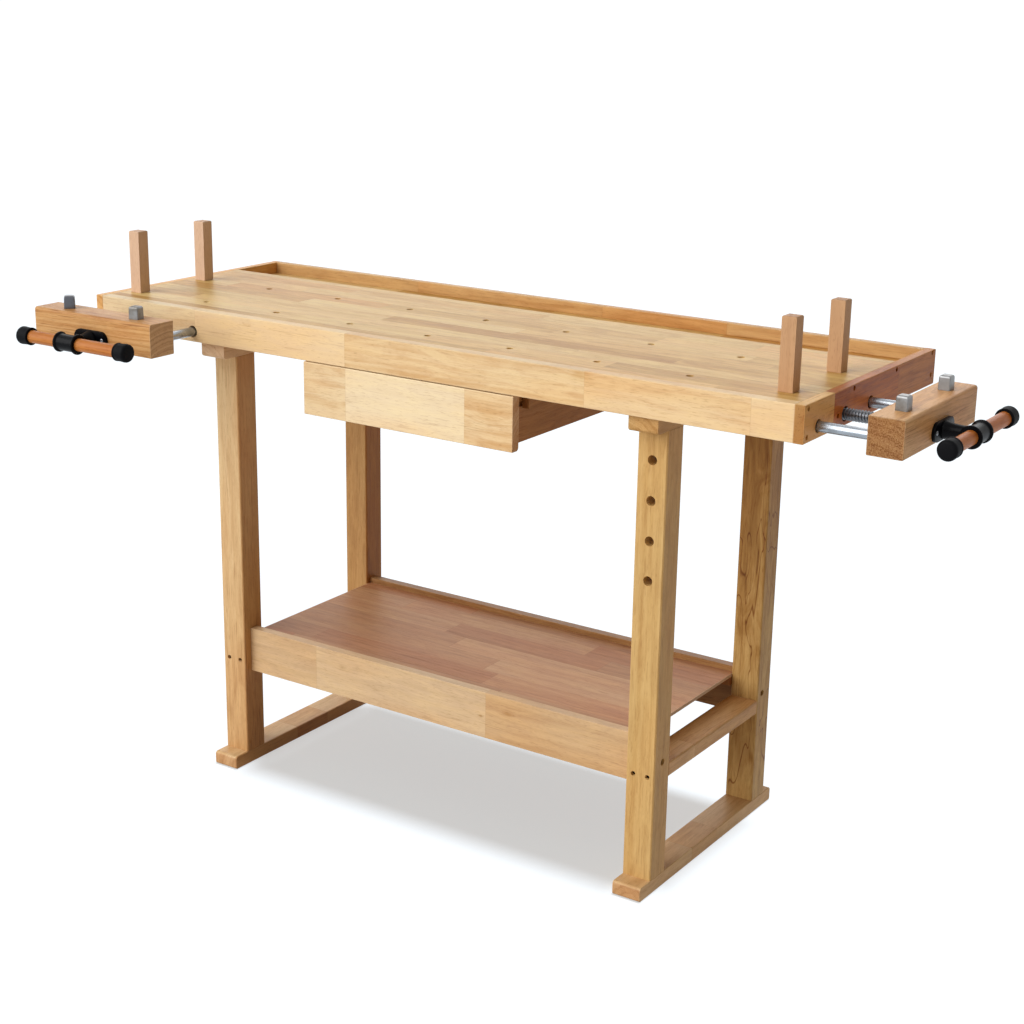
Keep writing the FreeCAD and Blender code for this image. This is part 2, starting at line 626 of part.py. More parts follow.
def drawer_back():
    """The drawer's back, standing on the bottom between the sides."""
    low, high = inner_box()
    floor = side_levels()[0] + DRAWER_BOTTOM_RISE + DRAWER_BOTTOM_THICKNESS
    end = FRONT + DRAWER_FRONT_THICKNESS + DRAWER_DEPTH
    return box(low, high, end - DRAWER_SIDE_THICKNESS, end, floor, side_levels()[1])


def drawer_hanger(outer, direction):
    """A board hung from the slab with a runner along it, direction pointing to the drawer."""
    face = outer - direction * HANGER_GAP
    edges = sorted((face, face - direction * HANGER_THICKNESS))
    start = FRONT + HANGER_START
    board = box(edges[0], edges[1], start, start + HANGER_LENGTH, SLAB_BOTTOM - HANGER_HEIGHT,
                SLAB_BOTTOM)
    tip = outer + direction * (RUNNER_GROOVE_DEPTH - 2 * RUNNER_GAP)
    tongue = sorted((face, tip))
    runner = box(tongue[0], tongue[1], start + 4.0, start + HANGER_LENGTH,
                 RUNNER_CENTRE - RUNNER_HEIGHT / 2, RUNNER_CENTRE + RUNNER_HEIGHT / 2)
    return board.fuse(runner)


# ---------------------------------------------------------------- the whole assembly
def top_pieces():
    """Every fixed piece of the top."""
    block_back = SLAB_FRONT + GUIDE_BLOCK_LENGTH
    left, right = drawer_edges()
    return {
        "top_slab": top_slab(),
        "front_apron": front_apron(),
        "end_cap_left": end_cap(LEFT),
        "end_cap_right": end_cap(INNER_RIGHT),
        "rear_rail": rear_rail(),
        "tray_bottom": tray_bottom(),
        "tray_battens": tray_battens(),
        "top_bearer_left": top_bearer(FRAME_LEFT, block_back),
        "top_bearer_right": top_bearer(FRAME_RIGHT, SLAB_FRONT),
        "drawer_hanger_left": drawer_hanger(left + DRAWER_SIDE_INSET, 1),
        "drawer_hanger_right": drawer_hanger(right - DRAWER_SIDE_INSET, -1),
    }


def frame_pieces():
    """Every piece of the leg frames, stretchers and shelf."""
    pieces = {}
    for side, left in (("left", FRAME_LEFT), ("right", FRAME_RIGHT)):
        front_leg = leg_with_peg_holes if side == "right" else leg
        pieces["foot_" + side] = foot(left)
        pieces["leg_front_" + side] = front_leg(left, LEG_FRONT)
        pieces["leg_rear_" + side] = leg(left, LEG_REAR)
        pieces["side_rail_" + side] = side_rail(left)
        pieces["top_rail_" + side] = top_rail(left)
    pieces["front_stretcher"] = stretcher(front_stretcher_centre())
    pieces["rear_stretcher"] = stretcher(-front_stretcher_centre())
    pieces["shelf_board"] = shelf_board()
    pieces["shelf_cleats"] = shelf_cleats()
    return pieces


def vise_pieces(name, placement, skirt, block):
    """Every piece of one vise."""
    return {
        name + "_vise_guide_block": block,
        name + "_vise_nut": placed(fixed_nut(skirt), placement),
        name + "_vise_jaw": jaw_with_dog_bores(placement, jaw_dog_places(placement)),
        name + "_vise_flange": placed(thrust_plate(), placement),
        name + "_vise_guide_rods": placed(guide_rods(), placement),
        name + "_vise_screw": placed(vise_screw(), placement),
        name + "_vise_screw_head": placed(screw_head(), placement),
        name + "_vise_handle": placed(handle(), placement),
        name + "_vise_handle_caps": placed(handle_caps(), placement),
    }


def dog_pieces():
    """The four steel dogs and the four wooden ones."""
    pieces = {}
    turns = (LEFT_DOG_TURN, RIGHT_DOG_TURN)
    for side, place, turn in zip(("left", "right"), jaw_dog_places(FRONT_VISE), turns):
        pieces["front_jaw_dog_" + side] = steel_dog(*place, turn)
    for side, place in zip(("front", "rear"), jaw_dog_places(END_VISE)):
        pieces["end_jaw_dog_" + side] = steel_dog(*place)
    for side, column in (("left", 0), ("right", DOG_COLUMNS - 1)):
        for end, row in zip(("front", "rear"), DOG_ROWS):
            pieces["wooden_dog_" + end + "_" + side] = wooden_dog(column_x(column), row)
    return pieces


def drawer_pieces():
    """Every piece of the drawer."""
    left, right = drawer_edges()
    return {
        "drawer_front": drawer_front(),
        "drawer_side_left": drawer_side(left + DRAWER_SIDE_INSET, 1),
        "drawer_side_right": drawer_side(right - DRAWER_SIDE_INSET, -1),
        "drawer_back": drawer_back(),
        "drawer_bottom": drawer_bottom(),
    }


def main():
    """Build every piece and write it to its own file."""
    pieces = {}
    pieces.update(top_pieces())
    pieces.update(frame_pieces())
    pieces.update(vise_pieces("front", FRONT_VISE, APRON_THICKNESS, front_guide_block()))
    pieces.update(vise_pieces("end", END_VISE, END_CAP_THICKNESS, end_guide_block()))
    pieces.update(dog_pieces())
    pieces.update(drawer_pieces())
    os.makedirs("parts", exist_ok=True)
    for name, shape in pieces.items():
        shape.exportStep("parts/" + name + ".step")


main()
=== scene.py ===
"""Studio model of a woodworking bench with two screw vises, a drawer, a tool tray and bench dogs.

Every board, fitting and turned part that shows is a piece of its own that rides on one body of the
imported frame, and the mostly hidden ones keep the frame's shapes.  Sizes of pieces, knots and
glued-on lengths are given in millimetres, and the other sizes of the finishes in metres.  +X runs
to the right-hand end, the front faces -Y and +Z is up.
"""
import sys
import logging
import math
from dataclasses import dataclass, field, replace
from enum import Enum
from typing import Sequence, Union

import bmesh
import bpy
from mathutils import Matrix, Vector


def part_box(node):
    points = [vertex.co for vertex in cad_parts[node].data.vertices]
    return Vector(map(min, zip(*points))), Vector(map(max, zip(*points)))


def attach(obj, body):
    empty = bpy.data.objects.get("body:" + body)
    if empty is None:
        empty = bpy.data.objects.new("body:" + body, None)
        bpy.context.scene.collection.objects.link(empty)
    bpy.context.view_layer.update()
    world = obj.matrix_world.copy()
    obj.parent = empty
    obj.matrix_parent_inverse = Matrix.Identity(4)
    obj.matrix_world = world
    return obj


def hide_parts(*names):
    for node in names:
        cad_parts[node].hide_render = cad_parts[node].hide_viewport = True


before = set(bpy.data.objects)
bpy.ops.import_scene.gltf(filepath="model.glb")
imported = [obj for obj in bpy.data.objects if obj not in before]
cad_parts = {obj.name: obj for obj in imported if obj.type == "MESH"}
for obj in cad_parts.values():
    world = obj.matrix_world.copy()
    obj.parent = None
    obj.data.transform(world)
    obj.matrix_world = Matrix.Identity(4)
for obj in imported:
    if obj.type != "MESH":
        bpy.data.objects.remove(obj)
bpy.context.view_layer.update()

log = logging.getLogger("bench")

Colour = tuple[float, float, float]
Place = tuple[float, float, float]
Rgb = tuple[int, int, int]
Socket = bpy.types.NodeSocket
Finish = bpy.types.Material
Piece = bpy.types.Object
Making = bmesh.types.BMesh
Outline = tuple[tuple[float, float], ...]
Feed = Union[Socket, float, Colour, Vector]

MM = 0.001
X_AXIS = Vector((1.0, 0.0, 0.0))
Y_AXIS = Vector((0.0, 1.0, 0.0))
Z_AXIS = Vector((0.0, 0.0, 1.0))


def linear(colour: Rgb) -> Colour:
    """Scene-linear values of an sRGB colour from 0 to 255."""
    values = [value / 255.0 for value in colour]
    return tuple(v / 12.92 if v <= 0.04045 else ((v + 0.055) / 1.055) ** 2.4 for v in values)


class Grain(Enum):
    """The world axis that a board's fibres follow."""

    X = (0, 1, 2)
    Y = (1, 0, 2)
    Z = (2, 0, 1)

    def turned(self, place: Sequence[float]) -> Vector:
        """A place with the fibre axis first."""
        return Vector([place[axis] for axis in self.value])


# ---------------------------------------------------------------- shader helpers
class Wiring:
    """Adds shader nodes to one tree and joins them."""

    def __init__(self, tree: bpy.types.NodeTree) -> None:
        """Keep the tree that the nodes go into."""
        self.tree = tree

    def add(self, kind: str, **settings: object) -> bpy.types.Node:
        """Add a node.

        Args:
            kind: The node's type, without the ShaderNode prefix.
            settings: Properties of the node.

        Returns:
            The new node.
        """
        node = self.tree.nodes.new("ShaderNode" + kind)
        for key, value in settings.items():
            setattr(node, key, value)
        return node

    def feed(self, socket: Socket, value: Feed) -> None:
        """Link a socket to another, or set its own value.

        Args:
            socket: The socket that is fed.
            value: What it is fed.
        """
        if isinstance(value, Socket):
            self.tree.links.new(value, socket)
        elif socket.type == "RGBA":
            socket.default_value = (*value[:3], 1.0)
        else:
            socket.default_value = value

    def math(self, operation: str, first: Feed, second: Feed = 0.0, third: Feed = 0.0,
             clamp: bool = False) -> Socket:
        """One arithmetic step.

        Args:
            operation: Name of the operation.
            first: First operand.
            second: Second operand.
            third: Third operand, where there is one.
            clamp: Whether the result is held between 0 and 1.

        Returns:
            The result's socket.
        """
        node = self.add("Math", operation=operation, use_clamp=clamp)
        for socket, value in zip(node.inputs, (first, second, third)):
            self.feed(socket, value)
        return node.outputs[0]

    def plus(self, first: Feed, second: Feed) -> Socket:
        """The sum of two values."""
        return self.math("ADD", first, second)

    def minus(self, first: Feed, second: Feed) -> Socket:
        """The difference of two values."""
        return self.math("SUBTRACT", first, second)

    def times(self, first: Feed, second: Feed) -> Socket:
        """The product of two values."""
        return self.math("MULTIPLY", first, second)

    def scaled(self, value: Feed, share: Feed, base: Feed, clamp: bool = False) -> Socket:
        """A share of a value on top of a base."""
        return self.math("MULTIPLY_ADD", value, share, base, clamp)

    def vector(self, operation: str, first: Feed, second: Feed) -> Socket:
        """One vector step.

        Args:
            operation: Name of the operation.
            first: First vector.
            second: Second vector.

        Returns:
            The resulting vector's socket.
        """
        node = self.add("VectorMath", operation=operation)
        self.feed(node.inputs[0], first)
        self.feed(node.inputs[1], second)
        return node.outputs[0]

    def split(self, position: Feed) -> tuple[Socket, ...]:
        """The three coordinates of a vector.

        Args:
            position: The vector.

        Returns:
            The sockets of x, y and z.
        """
        node = self.add("SeparateXYZ")
        self.feed(node.inputs[0], position)
        return tuple(node.outputs)

    def join(self, x: Feed, y: Feed, z: Feed) -> Socket:
        """A vector of three coordinates.

        Args:
            x: First coordinate.
            y: Second coordinate.
            z: Third coordinate.

        Returns:
            The vector's socket.
        """
        node = self.add("CombineXYZ")
        for socket, value in zip(node.inputs, (x, y, z)):
            self.feed(socket, value)
        return node.outputs[0]

    def cloud(self, position: Feed, scale: Feed, detail: float = 2.0, roughness: float = 0.5,
              twist: float = 0.0) -> Socket:
        """Cloudy noise with its own scale on each axis.

        Args:
            position: Where the noise is read.
            scale: How fine it is along each axis.
            detail: Octaves.
            roughness: How strong the fine octaves are.
            twist: Distortion.

        Returns:
            The noise value's socket.
        """
        node = self.add("TexNoise", noise_dimensions="3D")
        self.feed(node.inputs["Vector"], self.vector("MULTIPLY", position, scale))
        for name, value in (("Scale", 1.0), ("Detail", detail), ("Roughness", roughness),
                            ("Distortion", twist)):
            node.inputs[name].default_value = value
        return node.outputs[0]

    def chance(self, position: Feed) -> tuple[Socket, Socket]:
        """Chance for each whole-numbered position.

        Args:
            position: The position.

        Returns:
            A random value and a random colour.
        """
        node = self.add("TexWhiteNoise", noise_dimensions="3D")
        self.feed(node.inputs["Vector"], position)
        return node.outputs["Value"], node.outputs["Color"]

    def fit(self, value: Feed, low: Feed, high: Feed, start: float = 0.0,
            end: float = 1.0) -> Socket:
        """Smoothly map a value from one range to another.

        Args:
            value: The value.
            low: Where the range starts.
            high: Where it ends.
            start: Result at the start.
            end: Result at the end.

        Returns:
            The mapped value's socket.
        """
        node = self.add("MapRange", interpolation_type="SMOOTHSTEP")
        for name, given in (("Value", value), ("From Min", low), ("From Max", high),
                            ("To Min", start), ("To Max", end)):
            self.feed(node.inputs[name], given)
        return node.outputs[0]

    def blend(self, share: Feed, first: Feed, second: Feed, mode: str = "MIX") -> Socket:
        """Mix two colours.

        Args:
            share: How much of the second colour is used.
            first: First colour.
            second: Second colour.
            mode: Blend mode.

        Returns:
            The mixed colour's socket.
        """
        node = self.add("Mix", data_type="RGBA", blend_type=mode)
        self.feed(node.inputs[0], share)
        self.feed(node.inputs[6], first)
        self.feed(node.inputs[7], second)
        return node.outputs[2]

    def ramp(self, factor: Feed, stops: Sequence[tuple[float, Colour]]) -> Socket:
        """A colour ramp.

        Args:
            factor: Position on the ramp.
            stops: Position and colour of each stop, in order.

        Returns:
            The colour's socket.
        """
        node = self.add("ValToRGB")
        elements = node.color_ramp.elements
        while len(elements) < len(stops):
            elements.new(0.5)
        for element, (position, colour) in zip(elements, stops):
            element.position = position
            element.color = (*colour, 1.0)
        self.feed(node.inputs[0], factor)
        return node.outputs[0]

    def relief(self, shader: bpy.types.Node, height: Feed, strength: float,
               distance: float) -> None:
        """Raise a surface a little.

        Args:
            shader: The surface shader.
            height: The height over the surface.
            strength: How much of the relief shows.
            distance: Height in metres that the value 1 stands for.
        """
        bump = self.add("Bump")
        bump.inputs["Strength"].default_value = strength
        bump.inputs["Distance"].default_value = distance
        self.feed(bump.inputs["Height"], height)
        self.feed(shader.inputs["Normal"], bump.outputs[0])

    def seen(self) -> Socket:
        """Whether a surface is seen, mirrored or looked at through another.

        Returns:
            The socket of a value that is 1 if so and 0 otherwise.
        """
        path = self.add("LightPath").outputs
        mirrored = self.math("MAXIMUM", path["Is Camera Ray"], path["Is Glossy Ray"])
        return self.math("MAXIMUM", mirrored, path["Is Transmission Ray"])


class EffectGroup:
    """A shader node group with named inputs and outputs, built once and shared by materials."""

    name = "effect"
    inputs: tuple[tuple[str, str], ...] = ()
    outputs: tuple[str, ...] = ()

    def __init__(self) -> None:
        """Make the group's sockets and its nodes."""
        self.tree = bpy.data.node_groups.new(self.name, "ShaderNodeTree")
        for name, kind in self.inputs:
            self.tree.interface.new_socket(name, in_out="INPUT", socket_type="NodeSocket" + kind)
        for name in self.outputs:
            self.tree.interface.new_socket(name, in_out="OUTPUT", socket_type="NodeSocketFloat")
        w = Wiring(self.tree)
        given = self.tree.nodes.new("NodeGroupInput").outputs
        results = self.wire(w, given)
        target = self.tree.nodes.new("NodeGroupOutput").inputs
        for name in self.outputs:
            w.feed(target[name], results[name])

    def wire(self, w: Wiring, given: bpy.types.NodeOutputs) -> dict[str, Socket]:
        """Build the nodes inside the group."""
        raise NotImplementedError

    def place(self, w: Wiring, **values: Feed) -> dict[str, Socket]:
        """Put the group into a material.

        Args:
            w: The material's wiring.
            values: What each input is fed, with underscores for spaces.

        Returns:
            The outputs by name.
        """
        node = w.add("Group", node_tree=self.tree)
        for name, value in values.items():
            w.feed(node.inputs[name.replace("_", " ")], value)
        return {name: node.outputs[name] for name in self.outputs}


class TimberGrain(EffectGroup):
    """Glued staves with growth rings, fibres, pores and glue lines.  The fibres follow x."""

    name = "timber_grain"
    inputs = (("Position", "Vector"), ("Stave Length", "Float"), ("Stave Width", "Float"),
              ("Stave Depth", "Float"), ("Ring Spacing", "Float"), ("Wander", "Float"),
              ("Knots", "Float"), ("Seed", "Float"))
    outputs = ("Tone", "Warmth", "Rings", "Fibres", "Mottle", "Blush", "Pores", "Streaks", "Stain",
               "Joint")
    clouds: dict[str, tuple[Union[Place, float], ...]] = {
        "Slow": ((3.2, 11.0, 11.0), 2.0), "Swirl": ((10.0, 38.0, 38.0), 2.0, 0.5, 1.0),
        "Fibres": ((9.0, 310.0, 310.0), 3.0, 0.6), "Mottle": ((9.0, 45.0, 45.0), 4.0, 0.62, 1.2),
        "Blush": ((3.5, 13.0, 13.0), 1.0), "Pores": ((85.0, 1150.0, 1150.0), 1.0, 0.4),
        "Streaks": ((17.0, 430.0, 430.0), 1.0, 0.4), "Stain": ((5.5, 24.0, 24.0), 2.0, 0.5, 0.9)}
    ring_cloud: tuple[Union[Place, float], ...] = ((1.0, 1.0, 1.0), 3.0, 0.62)
    levels: dict[str, tuple[float, float]] = {
        "Rings": (0.28, 0.72), "Mottle": (0.30, 0.70), "Blush": (0.36, 0.64),
        "Pores": (0.60, 0.72), "Streaks": (0.62, 0.74)}
    end_joint: float = 0.0012
    side_joint: float = 0.0010
    joint_share: float = 0.6
    length_spread: tuple[float, float] = (0.5, 0.75)
    start_spread: tuple[float, float] = (9.7, 50.0)
    jump: float = 37.0
    heart_spread: float = 0.14
    heart_depth: tuple[float, float] = (0.09, 0.012)
    lean: float = 0.05
    swirl_share: float = 0.35
    stain_ring: tuple[float, float] = (0.56, 0.016)

    def wire(self, w: Wiring, given: bpy.types.NodeOutputs) -> dict[str, Socket]:
        """Build the nodes.

        Args:
            w: The group's wiring.
            given: The group's inputs.

        Returns:
            The outputs by name.
        """
        x, y, z = w.split(given["Position"])
        seed = given["Seed"]
        across = w.plus(w.math("DIVIDE", y, given["Stave Width"]), 0.5)
        through = w.plus(w.math("DIVIDE", z, given["Stave Depth"]), 0.5)
        row, layer = w.math("FLOOR", across), w.math("FLOOR", through)
        shift, _ = w.chance(w.join(row, layer, seed))
        stretch = w.scaled(shift, *self.length_spread)
        length = w.times(given["Stave Length"], stretch)
        along = w.plus(w.math("DIVIDE", x, length), w.scaled(shift, *self.start_spread))
        piece = w.math("FLOOR", along)
        value, colour = w.chance(w.join(w.scaled(seed, 17.0, piece), row, layer))
        first, second, third = w.split(colour)
        stave_y = w.times(w.minus(w.math("FRACT", across), 0.5), given["Stave Width"])
        stave_z = w.times(w.minus(w.math("FRACT", through), 0.5), given["Stave Depth"])
        jump = w.times(value, self.jump)
        moved = w.join(w.plus(x, jump), w.plus(y, jump), z)
        cloud = {name: w.cloud(moved, *shape) for name, shape in self.clouds.items()}
        from_y = w.minus(stave_y, w.times(w.minus(first, 0.5), self.heart_spread))
        from_z = w.plus(stave_z, w.scaled(second, *self.heart_depth))
        radius = w.math("SQRT", w.plus(w.times(from_y, from_y), w.times(from_z, from_z)))
        lean = w.times(x, w.times(w.minus(third, 0.5), self.lean))
        radius = w.plus(w.plus(radius, lean), w.times(cloud["Slow"], given["Wander"]))
        swirl = w.times(cloud["Swirl"], given["Wander"])
        radius = w.scaled(swirl, self.swirl_share, radius)
        level = w.math("DIVIDE", w.plus(radius, given["Knots"]), given["Ring Spacing"])
        cloud["Rings"] = w.cloud(w.join(w.plus(level, jump), 0.5, 0.5), *self.ring_cloud)
        near = w.math("ABSOLUTE", w.minus(cloud["Stain"], self.stain_ring[0]))
        part = w.math("FRACT", along)
        end_gap = w.times(w.math("MINIMUM", part, w.minus(1.0, part)), given["Stave Length"])
        side = w.math("FRACT", across)
        side_gap = w.times(w.math("MINIMUM", side, w.minus(1.0, side)), given["Stave Width"])
        joint = w.math("MAXIMUM", w.fit(end_gap, 0.0, self.end_joint, 1.0, 0.0),
                       w.fit(side_gap, 0.0, self.side_joint, self.joint_share, 0.0))
        marks = {name: w.fit(cloud[name], *span) for name, span in self.levels.items()}
        return {**marks, "Tone": value, "Warmth": third, "Fibres": cloud["Fibres"],
                "Stain": w.fit(near, 0.0, self.stain_ring[1], 1.0, 0.0), "Joint": joint}


class BoxEdges(EffectGroup):
    """How near a point is to the edges and ends of the block that a piece was made from."""

    name = "box_edges"
    inputs = (("Position", "Vector"), ("Low", "Vector"), ("High", "Vector"), ("Width", "Float"))
    outputs = ("Edge", "End")
    ragged: Place = (60.0, 60.0, 60.0)
    end_skin: tuple[float, float] = (0.0006, 0.0012)

    def wire(self, w: Wiring, given: bpy.types.NodeOutputs) -> dict[str, Socket]:
        """Build the nodes.

        Args:
            w: The group's wiring.
            given: The group's inputs.

        Returns:
            The outputs by name.
        """
        below = w.split(w.vector("SUBTRACT", given["Position"], given["Low"]))
        above = w.split(w.vector("SUBTRACT", given["High"], given["Position"]))
        gaps = [w.math("MAXIMUM", w.math("MINIMUM", a, b), 0.0) for a, b in zip(below, above)]
        least = w.math("MINIMUM", w.math("MINIMUM", gaps[0], gaps[1]), gaps[2])
        most = w.math("MAXIMUM", w.math("MAXIMUM", gaps[0], gaps[1]), gaps[2])
        total = w.plus(w.plus(gaps[0], gaps[1]), gaps[2])
        middle = w.minus(w.minus(total, least), most)
        ragged = w.cloud(given["Position"], self.ragged, 3.0)
        reach = w.times(given["Width"], w.scaled(ragged, 1.4, 0.3))
        return {"Edge": w.fit(middle, 0.0, reach, 1.0, 0.0),
                "End": w.fit(gaps[0], *self.end_skin, 1.0, 0.0)}


class Handling(EffectGroup):
    """Fine scratches, rubbed patches and a light grain for metal, enamel and rubber."""

    name = "handling"
    inputs = (("Position", "Vector"), ("Stretch", "Vector"), ("Patch", "Float"), ("Seed", "Float"))
    outputs = ("Scratches", "Patches", "Grit")
    grit: Place = (1400.0, 1400.0, 1400.0)

    def wire(self, w: Wiring, given: bpy.types.NodeOutputs) -> dict[str, Socket]:
        """Build the nodes.

        Args:
            w: The group's wiring.
            given: The group's inputs.

        Returns:
            The outputs by name.
        """
        seed = w.join(given["Seed"], given["Seed"], given["Seed"])
        moved = w.vector("ADD", given["Position"], seed)
        scale = w.join(given["Patch"], given["Patch"], given["Patch"])
        return {
            "Scratches": w.cloud(moved, given["Stretch"], 3.0, 0.6),
            "Patches": w.cloud(moved, scale, 4.0, 0.6),
            "Grit": w.cloud(moved, self.grit, 1.0),
        }


class Effects:
    """The shader groups that the finishes share."""

    grain: TimberGrain
    edges: BoxEdges
    handling: Handling

    @classmethod
    def make(cls) -> None:
        """Build every group once."""
        cls.grain, cls.edges, cls.handling = TimberGrain(), BoxEdges(), Handling()


def new_material(name: str) -> tuple[Finish, Wiring, bpy.types.Node]:
    """A material with an empty surface shader.

    Args:
        name: The material's name.

    Returns:
        The material, its wiring and its surface shader.
    """
    material = bpy.data.materials.new(name)
    material.use_nodes = True
    material.node_tree.nodes.clear()
    wiring = Wiring(material.node_tree)
    shader = wiring.add("BsdfPrincipled")
    output = wiring.add("OutputMaterial")
    wiring.feed(output.inputs["Surface"], shader.outputs[0])
    return material, wiring, shader


# ---------------------------------------------------------------- finishes
GOLD: Colour = (1.0, 0.97, 0.80)
RAW_END: Colour = (0.60, 0.44, 0.32)
STAIN: Colour = (0.42, 0.24, 0.14)
# Painted shade: tint laid on a board's +X face, which the lamps leave in shade.
SIDE_SHADE_TINT: Colour = (0.77, 0.56, 0.36)
FLECK: Colour = (0.46, 0.30, 0.16)
GLUE: Colour = (0.36, 0.20, 0.10)
# Painted shade starts this far in from a board's +X face and is full this near it.
SIDE_SHADE_REACH, SIDE_SHADE_FULL = 4.0 * MM, 1.0 * MM
EDGE_WIDTH, GLUE_WIDTH = 2.2 * MM, 1.0 * MM
KNOT_STRETCH = 0.42
NEXT_FIGURE = 3.0
FIXING_LINES: Place = (300.0, 300.0, 300.0)
END_GRIT = ((120.0, 520.0, 520.0), 3.0, 0.6, 0.4)
END_GRIT_LEVELS = (0.32, 0.68)


@dataclass(frozen=True)
class Length:
    """A glued-on length: where it starts along the fibres, and how its tone and warmth step."""

    start: float
    tone: float = 0.0
    warmth: float = 0.0


@dataclass(frozen=True)
class Knot:
    """A swirl in the rings: its place along and across the face, its size and its strength."""

    along: float
    across: float
    size: float = 12.0
    swell: float = 10.0
    shade: float = 0.3


